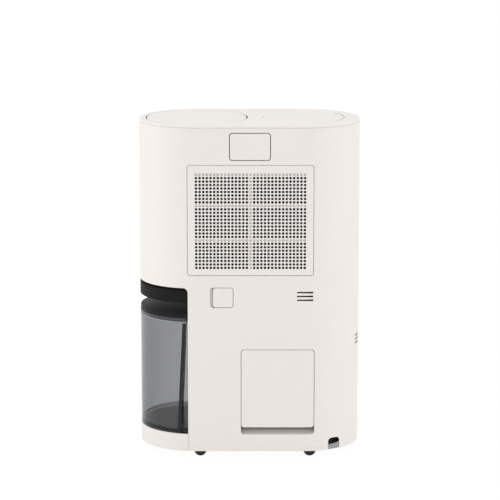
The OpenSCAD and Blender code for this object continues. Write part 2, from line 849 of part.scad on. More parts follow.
module float_post() {
  color("#c9cacc") standing() rod([post[0], post[1], tank_z + 2.5], post_r,
                                  lid_top - 2.6 - tank_z - 2.5);
}

module tank_float() {
  color("#3f6fae") standing() difference() {
    translate([post[0], post[1], tank_z + 2.8]) can(9.5, 24, 3);
    rod([post[0], post[1], tank_z], post_r + run, 60);
  }
}

module tank_switch() {
  color("#1d1d1f") standing() {
    block(bay_back + 2.6, bay_back + 12, post[1] - 9, post[1] + 9, tank_top - 34, tank_top - 14);
    block(bay_back + 12, bay_back + 16, post[1] - 4, post[1] + 4, tank_top - 28, tank_top - 20);
  }
}

// ---------------------------------------------------------------- cooling circuit

module drip_tray() {
  x0 = coil_x0 - plate_t - 16;
  x1 = coil_x1 + plate_t + 12;
  y0 = coil_y0 - tray_t - 0.6;
  y1 = coil_y1 + tray_t + 0.6;
  z1 = deck_top + tray_h;
  color("#b9bcbf") standing() difference() {
    union() {
      block(x0, x1, y0, y1, deck_top, z1);
      rod([drip[0], drip[1], lid_top + 5], 7, deck_top - lid_top);
      rod([spout[0], spout[1], spout[2] - spout_r], spout_r, deck_top - spout[2] + spout_r + 1);
      rod([spout[0], pocket_back - 16, spout[2]], spout_neck, spout[1] - pocket_back + 16, "y");
      rod([spout[0], pocket_back - 16, spout[2]], spout_r, spout_len, "y");
    }
    block(x0 + tray_t, x1 - tray_t, y0 + tray_t, y1 - tray_t, deck_top + 2, z1 + 1);
    rod([drip[0], drip[1], lid_top], 5, 100);
    rod([spout[0], spout[1], spout[2] - 4], spout_bore, 100);
    rod([spout[0], pocket_back - 17, spout[2]], spout_bore, spout[1] - pocket_back + 17, "y");
  }
}

// fins on a thin core, drawn in plan
module fin_block(y0) {
  n = floor((coil_x1 - coil_x0) / fin_pitch);
  step = (coil_x1 - coil_x0 - 1) / n;
  translate([0, 0, coil_z0]) linear_extrude(coil_z1 - coil_z0) {
    for (k = [0:n]) translate([coil_x0 + k * step, y0]) square([1, coil_d]);
    translate([coil_x0, y0 + coil_d / 2 - 1]) square([coil_x1 - coil_x0, 2]);
  }
}

module evaporator() {
  color("#c4c8cc") standing() fin_block(coil_y0);
}

module condenser() {
  color("#b4b8bc") standing() fin_block(cond_y0);
}

// return bends outside both end plates, and the stub of each open end
module coil_tubes(y) {
  for (k = [1:2:passes - 3]) return_bend(coil_x1 + plate_t, y, k, 1);
  for (k = [0:2:passes - 2]) return_bend(coil_x0 - plate_t, y, k, -1);
}

module return_bend(x, y, k, side) {
  translate([x + side * 2, y, pass_z0 + (k + 0.5) * pass_p]) rotate([90, 0, 0])
    rotate([0, 0, side > 0 ? -90 : 90])
      rotate_extrude(angle = 180, $fn = 64) translate([pass_p / 2, 0]) circle(d = tube_d, $fn = 24);
  for (s = [-0.5, 0.5])
    rod([side > 0 ? x : x - 2, y, pass_z0 + (k + 0.5 + s) * pass_p], tube_d / 2, 2, "x");
}

module evaporator_tubes() {
  color(COPPER) standing() coil_tubes(coil_y0 + coil_d / 2);
}

module condenser_tubes() {
  color(COPPER) standing() coil_tubes(cond_y0 + coil_d / 2);
}

module coil_plates() {
  color("silver") standing() for (x = [coil_x0 - plate_t, coil_x1]) {
    block(x, x + plate_t, coil_y0, coil_y1, deck_top + 2, coil_z1 + 2);
    block(x, x + plate_t, coil_y1 - 8, coil_y1, coil_z1, coil_z1 + 8);
  }
}

evap_y = coil_y0 + coil_d / 2;
cond_y = cond_y0 + coil_d / 2;
pass_top = pass_z0 + (passes - 1) * pass_p;
pipe_s = [coil_x1 + 26, evap_y];
pipe_d = [coil_x1 + 36, cond_y];
suction_z = deck_z - 26;
plate_x = coil_x1 + plate_t;

module suction_pipe() {
  color(COPPER) standing() pipe([
    [plate_x, evap_y, pass_top], [pipe_s[0], evap_y, pass_top], [pipe_s[0], evap_y, suction_z],
    [acc[0], evap_y, suction_z], [acc[0], acc[1], suction_z], [acc[0], acc[1], acc_top]],
    tube_d, 10);
}

module discharge_pipe() {
  z = comp_z + comp_h + 44;
  color(COPPER) standing() pipe([
    [plate_x, cond_y, pass_top], [pipe_d[0], cond_y, pass_top], [pipe_d[0], cond_y, z],
    [pipe_d[0], comp[1], z], [comp[0] + 14, comp[1], z], [comp[0] + 14, comp[1], comp_z + comp_h]],
    tube_d - 1, 8);
}

module capillary_tube() {
  color(COPPER) standing() pipe([
    [plate_x, cond_y, pass_z0], [plate_x + 14, cond_y, pass_z0], [plate_x + 14, evap_y, pass_z0],
    [plate_x, evap_y, pass_z0]], 3.5, 6);
}

acc_z0 = comp_z + 30;
acc_top = comp_z + 140;

module compressor() {
  color("#1e1f21") standing() difference() {
    union() {
      translate([comp[0], comp[1], comp_z]) can(comp_r, comp_h, comp_round);
      translate([acc[0], acc[1], acc_z0]) can(acc_r, acc_top - acc_z0, 8);
      // strap of the suction accumulator
      block(acc[0] + acc_r - 3, comp[0] - comp_r + 3, comp[1] + 1, comp[1] + 9,
            acc_z0 + 40, acc_z0 + 56);
      // terminal cover
      translate([comp[0] - 12, comp[1] - 20, comp_z + comp_h - 2]) cylinder(r = 14, h = 16, $fn = 48);
    }
    translate([comp[0], comp[1], comp_z + 12]) can(comp_r - 9, comp_h - 24, 12);
  }
}

module compressor_bracket() {
  color("#1e1f21") standing() difference() {
    union() {
      rod([comp[0], comp[1], comp_z - 2], 34, 2);
      for (a = [30, 150, 270]) translate([comp[0], comp[1], comp_z - 2]) rotate([0, 0, a]) {
        translate([0, -11, 0]) cube([stud_at, 22, 2]);
        translate([stud_at, 0, 0]) cylinder(r = 11, h = 2, $fn = 48);
      }
    }
    at_studs() cylinder(r = stud_r + 0.2, h = 200, center = true, $fn = 48);
  }
}

module at_studs() {
  for (a = [30, 150, 270])
    translate([comp[0] + stud_at * cos(a), comp[1] + stud_at * sin(a), 0]) children();
}

module compressor_grommets() {
  color("#232323") standing() at_studs() translate([0, 0, pan_top]) difference() {
    rotate_extrude($fn = 48) {
      square([8, foot_h]);
      for (z = [2, foot_h - 2]) translate([8, z]) circle(r = 2, $fn = 24);
      translate([0, 2]) square([8.8, foot_h - 4]);
    }
    translate([0, 0, -1]) cylinder(r = stud_r + 0.1, h = foot_h + 2, $fn = 48);
  }
}

module compressor_nuts() {
  color("silver") standing() at_studs() translate([0, 0, comp_z]) difference() {
    cylinder(r = 5.5, h = 4, $fn = 6);
    translate([0, 0, -1]) cylinder(r = stud_r + 0.1, h = 6, $fn = 48);
  }
}

// ---------------------------------------------------------------- fan

// outline of the scroll round the impeller, grown by g, with its upright outlet duct
module scroll_outline(g, top) {
  turns = 56;
  x0 = -scroll_1 - g;
  x1 = -scroll_1 + duct_w + g;
  polygon(concat(
    [for (k = [0:turns])
      let (a = tongue - k * (tongue + 180) / turns,
           r = scroll_0 + (scroll_1 - scroll_0) * k / turns + g)
      [r * cos(a), r * sin(a)]],
    [[x0, top], [x1, top], [x1, (scroll_0 + g) * sin(tongue)]]));
}

module at_fan(y) {
  translate([fan_x, y, fan_z]) rotate([90, 0, 0]) children();
}

scroll_top = louvre_z0 - fan_z - 0.2;

module fan_scroll() {
  y0 = fan_y0 + 2;
  color("#6d7175") standing() {
    difference() {
      at_fan(fan_y1) linear_extrude(fan_y1 - y0) scroll_outline(scroll_t, scroll_top);
      at_fan(fan_y1 - scroll_t) linear_extrude(big) scroll_outline(0, scroll_top + 1);
      rod([fan_x, y0, fan_z], 14, 100, "y");
    }
    // feet on the middle deck
    for (x = [fan_x - 40, fan_x + 26])
      difference() {
        block(x, x + 14, y0 + 6, fan_y1 - 6, deck_top, fan_z - 60);
        at_fan(fan_y1 + 1) linear_extrude(fan_y1 - y0 + 2) scroll_outline(scroll_t - 0.2, 100);
      }
  }
}

module fan_inlet() {
  color("#5c6064") standing() difference() {
    union() {
      at_fan(fan_y0 + 2) linear_extrude(2) scroll_outline(scroll_t, scroll_top);
      // bell mouth that reaches into the impeller
      rod([fan_x, fan_y0, fan_z], fan_r - 12, 6, "y");
    }
    rod([fan_x, fan_y0 - 1, fan_z], fan_r - 14, 30, "y");
  }
}

imp_y0 = fan_y0 + 9;
imp_y1 = imp_y0 + fan_len - 2;

module impeller() {
  blade = 9;
  color("#2b2d30") standing() translate([fan_x, imp_y1, fan_z]) rotate([90, 0, 0]) difference() {
    union() {
      cylinder(r = fan_r, h = 2, $fn = 96);
      cylinder(r = 11, h = 22, $fn = 48);
      translate([0, 0, imp_y1 - imp_y0 - 2]) difference() {
        cylinder(r = fan_r, h = 2, $fn = 96);
        translate([0, 0, -1]) cylinder(r = fan_r - blade + 1, h = 4, $fn = 96);
      }
      linear_extrude(imp_y1 - imp_y0) for (k = [0:blades - 1]) rotate(k * 360 / blades)
        translate([fan_r - blade, 0]) rotate(-32) difference() {
          circle(r = blade + 0.6, $fn = 32);
          circle(r = blade - 0.6, $fn = 32);
          translate([-2 * blade, -2 * blade]) square([4 * blade, 2 * blade]);
          rotate(58) translate([-2 * blade, 0]) square([4 * blade, 2 * blade]);
        }
    }
    translate([0, 0, -1]) cylinder(r = shaft_r, h = 40, $fn = 48);
  }
}

module fan_shaft() {
  color("silver") standing() rod([fan_x, imp_y1 - 26, fan_z], shaft_r, 26 + 24, "y");
}

module fan_motor() {
  color("#8d9094") standing() difference() {
    union() {
      rod([fan_x, fan_y1, fan_z], 44, 2, "y");
      translate([fan_x, fan_y1 + 1, fan_z]) rotate([-90, 0, 0]) can(motor_r, motor_len, 4);
    }
    rod([fan_x, fan_y1 - 1, fan_z], shaft_r + run, 30, "y");
  }
}

module outlet_louvre() {
  r = flap_r - 6;
  color("#3b3d40") standing() difference() {
    union() {
      difference() {
        rod([flap_x, 0, louvre_z0], r, louvre_z1 - louvre_z0);
        rod([flap_x, 0, louvre_z0 + 2], r - 2, 60);
        block(fan_x - scroll_1, fan_x - scroll_1 + duct_w, fan_y0 + 2, fan_y1 - 2,
              louvre_z0 - 1, louvre_z0 + 5);
      }
      // slats that turn the air towards the front
      intersection() {
        rod([flap_x, 0, louvre_z0 + 1], r - 1, louvre_z1 - louvre_z0 - 1);
        for (y = [-24:12:48]) translate([flap_x - r, y, louvre_z0 + 1]) rotate([-20, 0, 0])
          cube([2 * r, 1.6, 20]);
      }
    }
  }
}

module outlet_flap() {
  color(SHELL) standing() {
    translate([flap_x, 0, 0]) rotate_extrude($fn = 96)
      edge_profile(flap_r, top_z - flap_t, top_z, 1);
    // pivots at the ends of a chord near the rear edge
    for (x = [flap_x - flap_chord - 4, flap_x + flap_chord - 2])
      rod([x, flap_axis[1], flap_axis[2]], flap_pin, 6, "x");
    // stiffening ribs on the underside
    difference() {
      rod([flap_x, 8, top_z - flap_t - 3], 62, 3.5);
      rod([flap_x, 8, top_z - flap_t - 4], 60.4, 5);
    }
  }
}

// ---------------------------------------------------------------- electrics

module power_box() {
  color("#c8c8c6") standing() difference() {
    union() {
      block(72, 138, -8, 52, deck_top, deck_top + 108);
      for (y = [-8, 46]) block(66, 144, y, y + 6, deck_top, deck_top + 3);
    }
    block(74, 136, -6, 50, deck_top + 2, deck_top + 106);
  }
}

module capacitor() {
  color("#d8d8da") standing() translate([158, 22, deck_top]) {
    can(16, 62, 2);
    for (s = [-1, 1]) translate([s * 6, 0, 60]) cylinder(r = 2, h = 10, $fn = 24);
  }
}

module humidity_sensor() {
  color("#2f6b3c") standing() {
    block(sensor[0] - 12, sensor[0] + 12, in_y + 3.5, in_y + 5, sensor[1] - 11, sensor[1] + 11);
    block(sensor[0] - 6, sensor[0] + 6, in_y + 5, in_y + 10, sensor[1] - 6, sensor[1] + 6);
    for (x = [sensor[0] - 10, sensor[0] + 8]) {
      block(x, x + 2, in_y + 3.5, in_y + 8, deck_z - 9, deck_z);
      block(x, x + 2, in_y + 3.5, in_y + 5, sensor[1] + 9, deck_z - 8);
    }
  }
}

// ---------------------------------------------------------------- casters

// sx and sy give the place; the wheel trails towards the -X end
module caster_fork(sx, sy) {
  x = sx < 0 ? caster_x0 : caster_x1;
  ax = -trail;
  color("#2a2a2b") standing() translate([x, sy * caster_y, 0]) {
    rod([0, 0, fork_top - fork_t], 10.4, fork_t);
    rod([0, 0, fork_top - 1], stem_r, 7.4);
    for (s = [-1, 1]) translate([0, s > 0 ? cheek_y : -cheek_y - cheek_t, 0]) difference() {
      union() {
        rod([ax, 0, axle_z], 3.4, cheek_t, "y");
        translate([0, cheek_t, 0]) rotate([90, 0, 0]) linear_extrude(cheek_t)
          polygon([[ax - 3.3, axle_z + 0.8], [ax + 3.3, axle_z - 0.8], [4, fork_top - 1],
                   [-7, fork_top - 1]]);
      }
      rod([ax, -1, axle_z], axle_r - 0.3, 10, "y");
    }
    rod([ax, -cheek_y - cheek_t, axle_z], axle_r, 2 * (cheek_y + cheek_t), "y");
  }
}

module caster_wheel(sx, sy) {
  x = (sx < 0 ? caster_x0 : caster_x1) - trail;
  color("#161617") standing() translate([x, sy * caster_y, axle_z]) rotate([90, 0, 0]) difference() {
    translate([0, 0, -wheel_w / 2]) can(wheel_r, wheel_w, 1.6);
    cylinder(r = axle_r + run, h = 60, center = true, $fn = 48);
    // groove between the treads, and the dished hubs
    difference() {
      cylinder(r = wheel_r + 1, h = 1.6, center = true, $fn = 96);
      cylinder(r = wheel_r - 2, h = 3, center = true, $fn = 96);
    }
    for (s = [-1, 1]) translate([0, 0, s * wheel_w / 2]) difference() {
      cylinder(r = wheel_r - 3, h = 3, center = true, $fn = 48);
      cylinder(r = 3.2, h = 4, center = true, $fn = 48);
    }
  }
}

module caster_fork_rl() { caster_fork(-1, -1); }
module caster_fork_rr() { caster_fork(1, -1); }
module caster_fork_fl() { caster_fork(-1, 1); }
module caster_fork_fr() { caster_fork(1, 1); }
module caster_wheel_rl() { caster_wheel(-1, -1); }
module caster_wheel_rr() { caster_wheel(1, -1); }
module caster_wheel_fl() { caster_wheel(-1, 1); }
module caster_wheel_fr() { caster_wheel(1, 1); }

base_pan();
rear_case();
front_case();
top_cover();
bay_liner();
mid_deck();
inlet_frame();
cord_pocket();
drain_pocket();
door_pocket();
filter_cover();
filter_frame();
filter_mesh();
upper_door();
drain_cover();
cord_cover();
drain_plug();
cord_gland();
outlet_flap();
outlet_louvre();
control_disc();
light_guides();
control_board();
tank();
tank_lid();
float_post();
tank_float();
tank_switch();
drip_tray();
evaporator();
evaporator_tubes();
condenser();
condenser_tubes();
coil_plates();
suction_pipe();
discharge_pipe();
capillary_tube();
compressor();
compressor_bracket();
compressor_grommets();
compressor_nuts();
fan_scroll();
fan_inlet();
impeller();
fan_shaft();
fan_motor();
power_box();
capacitor();
humidity_sensor();
chassis_screws();
caster_fork_rl();
caster_fork_rr();
caster_fork_fl();
caster_fork_fr();
caster_wheel_rl();
caster_wheel_rr();
caster_wheel_fl();
caster_wheel_fr();
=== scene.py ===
"""Looks of a compressor dehumidifier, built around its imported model.

Lengths are metres in the row frame: the rear face looks towards -Y, the water tank is at
the -X end, and the floor is z = 0.
"""

from __future__ import annotations

import json
import logging
import math
from collections.abc import Callable, Iterable, Sequence
from dataclasses import dataclass, field
from enum import Enum

import bmesh
import bpy
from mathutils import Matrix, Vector

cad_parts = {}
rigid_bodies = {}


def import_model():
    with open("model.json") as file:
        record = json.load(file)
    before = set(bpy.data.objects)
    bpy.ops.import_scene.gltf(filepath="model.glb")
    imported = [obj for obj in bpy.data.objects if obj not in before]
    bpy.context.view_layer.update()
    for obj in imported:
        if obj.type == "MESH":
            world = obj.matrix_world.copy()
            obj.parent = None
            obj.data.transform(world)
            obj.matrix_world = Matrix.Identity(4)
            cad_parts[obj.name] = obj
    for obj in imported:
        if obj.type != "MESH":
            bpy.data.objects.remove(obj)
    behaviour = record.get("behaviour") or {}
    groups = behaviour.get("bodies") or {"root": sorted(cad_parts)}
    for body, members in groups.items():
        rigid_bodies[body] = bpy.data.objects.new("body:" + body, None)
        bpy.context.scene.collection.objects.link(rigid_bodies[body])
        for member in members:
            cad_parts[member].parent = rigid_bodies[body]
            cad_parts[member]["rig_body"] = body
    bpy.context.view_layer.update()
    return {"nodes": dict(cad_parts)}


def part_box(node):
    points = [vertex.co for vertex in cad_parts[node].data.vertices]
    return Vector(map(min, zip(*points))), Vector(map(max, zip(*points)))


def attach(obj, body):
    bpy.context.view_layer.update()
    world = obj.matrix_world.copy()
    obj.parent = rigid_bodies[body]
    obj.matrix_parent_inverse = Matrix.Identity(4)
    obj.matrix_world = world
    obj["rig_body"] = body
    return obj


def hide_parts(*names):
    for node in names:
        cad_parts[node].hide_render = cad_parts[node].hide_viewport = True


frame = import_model()

log = logging.getLogger("dehumidifier")

MM = 0.001
# the case in plan: its rear face, and the radius and middle of its round ends
REAR_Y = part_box("rear_case")[0].y
END_R = -REAR_Y
END_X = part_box("front_case")[1].x - END_R
GROUND_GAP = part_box("front_case")[0].z
# corners nearer than this are one, and faces that turn less than this are flat
WELD = 2e-6
FLAT = math.radians(0.3)
# edges that turn more than this are rounded, and those that turn less are shaded smooth
ROUND_FROM = math.radians(40.0)
SMOOTH_TO = math.radians(38.0)
# how far a rounding may grow a shape, and which share of its volume it may change
GROWTH_LIMIT = 0.05 * MM
VOLUME_LIMIT = 0.04
# flats of a full circle and of one round end in plan
CIRCLE_STEPS = 128
END_STEPS = 48
WHITE = (1.0, 1.0, 1.0, 1.0)

Colour = tuple[float, float, float, float]
Point = tuple[float, float]
Shape = bmesh.types.BMesh


# ---------------------------------------------------------------- nodes and colours


def linear(code: str) -> Colour:
    """Turns an sRGB hex value into the linear colour that shaders use.

    Args:
        code: six hex digits after a hash sign.

    Returns:
        Red, green, blue and an alpha of one.
    """
    values = [int(code[i:i + 2], 16) / 255 for i in (1, 3, 5)]
    red, green, blue = (v / 12.92 if v <= 0.04045 else ((v + 0.055) / 1.055) ** 2.4 for v in values)
    return red, green, blue, 1.0


def add(tree: bpy.types.NodeTree, kind: str, inputs: dict | None = None,
        **settings: object) -> bpy.types.Node:
    """Adds a node with its settings, values and links.

    Args:
        tree: the node tree that gets the node.
        kind: the node's type name.
        inputs: by socket name or number, a value or the output socket to link.
        settings: properties of the node.

    Returns:
        The new node.
    """
    node = tree.nodes.new(kind)
    for key, value in settings.items():
        setattr(node, key, value)
    for key, value in (inputs or {}).items():
        if isinstance(value, bpy.types.NodeSocket):
            tree.links.new(value, node.inputs[key])
        else:
            node.inputs[key].default_value = value
    return node


def cleared(owner: bpy.types.Material | bpy.types.World) -> bpy.types.NodeTree:
    """Returns the emptied node tree of a new material or world."""
    owner.use_nodes = True
    owner.node_tree.nodes.clear()
    return owner.node_tree


def placed(name: str, data: bpy.types.ID) -> bpy.types.Object:
    """Returns a new object with its data, linked into the scene."""
    made = bpy.data.objects.new(name, data)
    bpy.context.scene.collection.objects.link(made)
    return made


# ---------------------------------------------------------------- finishes


# how far the relief moves the roughness to either side, and how much of it the light sees
ROUGHNESS_SPREAD = 0.04
RELIEF_STRENGTH = 0.6
# how dull a lacquer coat is
COAT_ROUGHNESS = 0.25
# clouds in a surface and flow marks in a clear one, for each metre
CLOUDS = 9.0
FLOW_MARKS = 35.0


class Grain(Enum):
    """How the surface of a moulding or a metal part runs."""

    ERODED = (1.0, 1.0, 1.0)
    ALONG_X = (0.05, 1.0, 1.0)
    ALONG_Z = (1.0, 1.0, 0.05)


@dataclass(frozen=True)
class Finish:
    """A surface with an even colour, slight clouding and a fine relief.

    The relief of a real moulding is about 0.1 mm wide, too fine to show from the
    distance at which the whole appliance is seen, so it is drawn a few times coarser.
    Clouding is the share by which the tone drifts to either side.
    """

    name: str
    colour: str
    roughness: float = 0.45
    ior: float = 1.5
    metallic: float = 0.0
    grain: Grain = Grain.ERODED
    grain_mm: float = 0.7
    relief_mm: float = 0.01
    clouding: float = 0.012
    coat: float = 0.0
    specular: float = 0.5

    def material(self) -> bpy.types.Material:
        """Returns the finish's material, made on the first call."""
        found = bpy.data.materials.get(self.name)
        if found is None:
            found = bpy.data.materials.new(self.name)
            self._build(cleared(found))
        return found

    def _build(self, tree: bpy.types.NodeTree) -> None:
        """Fills the node tree of the finish."""
        place = add(tree, "ShaderNodeTexCoord").outputs["Object"]
        run = add(tree, "ShaderNodeMapping", {"Vector": place, "Scale": self.grain.value})
        cloud = add(tree, "ShaderNodeTexNoise", {"Vector": place, "Scale": CLOUDS, "Detail": 3.0})
        fine = add(tree, "ShaderNodeTexNoise", {"Vector": run.outputs["Vector"],
                                                "Scale": 1 / (self.grain_mm * MM),
                                                "Detail": 2.0})
        base = linear(self.colour)
        low = tuple(v * (1 - self.clouding) for v in base[:3]) + (1.0,)
        high = tuple(min(v * (1 + self.clouding), 1.0) for v in base[:3]) + (1.0,)
        tone = add(tree, "ShaderNodeMix", {0: cloud.outputs["Fac"], 6: low, 7: high},
                   data_type="RGBA")
        sheen = add(tree, "ShaderNodeMapRange", {"Value": fine.outputs["Fac"],
                                                 "To Min": self.roughness - ROUGHNESS_SPREAD,
                                                 "To Max": self.roughness + ROUGHNESS_SPREAD})
        bump = add(tree, "ShaderNodeBump", {"Height": fine.outputs["Fac"],
                                            "Distance": self.relief_mm * MM,
                                            "Strength": RELIEF_STRENGTH})
        shader = add(tree, "ShaderNodeBsdfPrincipled", {
            "Base Color": tone.outputs[2], "Roughness": sheen.outputs["Result"],
            "Normal": bump.outputs["Normal"], "IOR": self.ior, "Metallic": self.metallic,
            "Specular IOR Level": self.specular, "Coat Weight": self.coat,
            "Coat Roughness": COAT_ROUGHNESS})
        add(tree, "ShaderNodeOutputMaterial", {"Surface": shader.outputs["BSDF"]})


@dataclass(frozen=True)
class ClearFinish(Finish):
    """A see-through resin that darkens with the thickness that light passes."""

    density: float = 0.0
    dye: str = "#000000"

    def _build(self, tree: bpy.types.NodeTree) -> None:
        """Fills the tree with a glossy clear surface and a dyed body."""
        place = add(tree, "ShaderNodeTexCoord").outputs["Object"]
        flow = add(tree, "ShaderNodeTexNoise", {"Vector": place, "Scale": FLOW_MARKS,
                                                "Detail": 1.0})
        gloss = add(tree, "ShaderNodeMapRange", {"Value": flow.outputs["Fac"],
                                                 "To Min": self.roughness * 0.6,
                                                 "To Max": self.roughness * 1.4})
        shader = add(tree, "ShaderNodeBsdfPrincipled", {
            "Base Color": linear(self.colour), "Roughness": gloss.outputs["Result"],
            "IOR": self.ior, "Transmission Weight": 1.0})
        body = add(tree, "ShaderNodeVolumeAbsorption", {"Color": linear(self.dye),
                                                        "Density": self.density})
        add(tree, "ShaderNodeOutputMaterial", {"Surface": shader.outputs["BSDF"],
                                               "Volume": body.outputs["Volume"]})


# warm white ABS from a spark-eroded mould: even, satin, with hardly any highlight
CASE_ABS = Finish("abs_warm_white_eroded", "#eae5e1", roughness=0.5, relief_mm=0.012)
# the same resin on the linings of the pockets, painted greyer for the shade that falls in these
# recesses; the mould is left plainer and duller there
SHADED_LINING_ABS = Finish("abs_warm_white_lining_painted_shade", "#c9c4bf", roughness=0.6, relief_mm=0.01)
# black ABS with a fine deep texture, which keeps its sheen low
DARK_ABS = Finish("abs_black_textured", "#111112", roughness=0.6, relief_mm=0.02, specular=0.15)
# dark grey ABS of the tank's lid: smoother, with a soft grey sheen
LID_ABS = Finish("abs_dark_grey_satin", "#1a1b1d", roughness=0.45, relief_mm=0.01, specular=0.12)
# fine-knurled grip of the lid, painted a lighter grey for the sheen that the knurl catches
GRIP_SHEEN_ABS = Finish("abs_grey_knurled_painted_sheen", "#4a4c4f", roughness=0.6, relief_mm=0.05, grain_mm=0.5,
                  specular=0.3)
# grey silicone of the seal between lid and tank, painted light grey as the highlight line along the
# tank's rim under the lid
HIGHLIGHT_SILICONE = Finish("silicone_seal_painted_highlight", "#8e9194", roughness=0.5)
# dead black painted shade, put in the seams, behind the slots and in the bay's groove where shade
# falls
SHADE_BLACK = Finish("painted_shade_black", "#0c0c0c", roughness=0.95, relief_mm=0.03,
                     specular=0.1)
# talc-filled polypropylene of the inner chassis: grey, waxy and matt
CHASSIS_PP = Finish("polypropylene_grey", "#5c5e61", roughness=0.62, clouding=0.03)
# clear styrene acrylonitrile dyed smoke grey: glossy, darker where it is thick
SMOKE_SAN = ClearFinish("san_smoke_clear", "#fdfdfd", roughness=0.02, ior=1.41,
                        density=278.0, dye="#001a37")
# unfilled polypropylene: milky, slightly glossy
NATURAL_PP = Finish("polypropylene_natural", "#d3d6d8", roughness=0.4, clouding=0.02)
# closed-cell polyethylene foam: dull, with visible cells
FLOAT_FOAM = Finish("pe_foam_blue", "#4a6fae", roughness=0.85, grain_mm=1.1, relief_mm=0.12,
                    clouding=0.05)
# glass-filled polyamide of the casters: black, satin, a little worn
CASTER_PA = Finish("polyamide_black", "#1b1b1c", roughness=0.42, clouding=0.08)
# moulded EPDM rubber: black and dull
RUBBER = Finish("epdm_black", "#1f1f20", roughness=0.8, relief_mm=0.03, clouding=0.06)
# diffusing polycarbonate of the light guides: grey while the lamps are off
GUIDE_PC = Finish("polycarbonate_diffusing", "#b9b6b2", roughness=0.35)
# mid grey ABS of the wall behind the cord inlet
GREY_ABS = Finish("abs_mid_grey", "#979797", roughness=0.5, relief_mm=0.012)
# light grey flame-retardant ABS of electrical boxes
BOX_ABS = Finish("abs_light_grey", "#c6c6c4", roughness=0.55)
# black woven polyester net
NET_PET = Finish("polyester_net_black", "#232426", roughness=0.7, grain_mm=0.4, relief_mm=0.02)
# bare aluminium fin stock: bright, rolled along the fin
FIN_ALU = Finish("aluminium_fin_stock", "#cfd3d6", roughness=0.32, metallic=1.0,
                 grain=Grain.ALONG_Z, grain_mm=0.5, clouding=0.05)
# zinc-plated sheet steel: bluish, slightly cloudy
ZINC_STEEL = Finish("steel_zinc_plated", "#b9bcc0", roughness=0.35, metallic=1.0,
                    grain_mm=1.5, clouding=0.08)
# drawn copper tube with a light tarnish
COPPER = Finish("copper_drawn_tube", "#c27d55", roughness=0.34, metallic=1.0,
                grain=Grain.ALONG_X, clouding=0.12)
# black stoved enamel on pressed steel: deep, with soft highlights
BLACK_ENAMEL = Finish("enamel_black_stoved", "#161618", roughness=0.3, coat=0.4,
                      grain_mm=2.0, relief_mm=0.02)
# grey enamel of the motor can
GREY_ENAMEL = Finish("enamel_grey_stoved", "#8b8f94", roughness=0.4, coat=0.2)
# green solder mask on glass-fibre board
BOARD = Finish("solder_mask_green", "#1f5c3c", roughness=0.35, coat=0.3, grain_mm=1.2,
               clouding=0.08)


# ---------------------------------------------------------------- pieces


def body_of(node: str) -> str:
    """Returns the CAD body that a node moves with."""
    return frame["nodes"][node]["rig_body"]


def dress(finish: Finish, nodes: Iterable[str]) -> None:
    """Gives CAD nodes that are shown as they are their finish.

    Args:
        finish: the surface that the nodes get.
        nodes: names of CAD nodes.
    """
    for name in nodes:
        mesh = frame["nodes"][name].data
        mesh.materials.clear()
        mesh.materials.append(finish.material())
        log.info("%s: %s", name, finish.name)


def clear_flats(shape: Shape) -> None:
    """Takes out the edges that run inside flat faces."""
    bmesh.ops.dissolve_limit(shape, angle_limit=FLAT, verts=shape.verts, edges=shape.edges)


def shape_of(node: str, clear: bool = True) -> Shape:
    """Copies a CAD node's mesh and joins its loose triangles.

    Args:
        node: name of the CAD node.
        clear: whether edges inside flat faces are cleared.

    Returns:
        A new bmesh, which the caller frees.
    """
    shape = bmesh.new()
    shape.from_mesh(frame["nodes"][node].data)
    bmesh.ops.remove_doubles(shape, verts=shape.verts, dist=WELD)
    if clear:
        clear_flats(shape)
    return shape


def span(shape: Shape) -> tuple[Vector, Vector]:
    """Returns the lowest and the highest corner of a shape."""
    lows = Vector([min(v.co[k] for v in shape.verts) for k in range(3)])
    highs = Vector([max(v.co[k] for v in shape.verts) for k in range(3)])
    return lows, highs


def soften(shape: Shape, radius_mm: float,
           where: Callable[[Vector], bool] | None = None) -> Shape:
    """Rounds the sharp edges of a shape, as a mould leaves them.

    Args:
        shape: the shape to round.
        radius_mm: how far the rounding reaches from the edge.
        where: chooses edges by their middle.

    Returns:
        The rounded shape, or the shape as it was if the rounding would not keep its size.
    """
    (low, high), volume = span(shape), shape.calc_volume()
    plain = shape.copy()
    edges = [e for e in shape.edges
             if len(e.link_faces) == 2 and e.calc_face_angle(0) > ROUND_FROM
             and (where is None or where((e.verts[0].co + e.verts[1].co) / 2))]
    bmesh.ops.bevel(shape, geom=edges, offset=radius_mm * MM, offset_type="OFFSET",
                    segments=2, profile=0.5, affect="EDGES", clamp_overlap=False)
    new_low, new_high = span(shape)
    grown = max(max(low[k] - new_low[k], new_high[k] - high[k]) for k in range(3))
    if grown > GROWTH_LIMIT or abs(shape.calc_volume() - volume) > VOLUME_LIMIT * abs(volume):
        log.info("rounding left out: grows %.2f mm, volume %.3f", grown / MM,
                 shape.calc_volume() / volume)
        shape.free()
        return plain
    plain.free()
    return shape


def evaluated(obj: bpy.types.Object) -> bpy.types.Mesh:
    """Returns an object's final mesh as plain data."""
    graph = bpy.context.evaluated_depsgraph_get()
    graph.update()
    return bpy.data.meshes.new_from_object(obj.evaluated_get(graph))


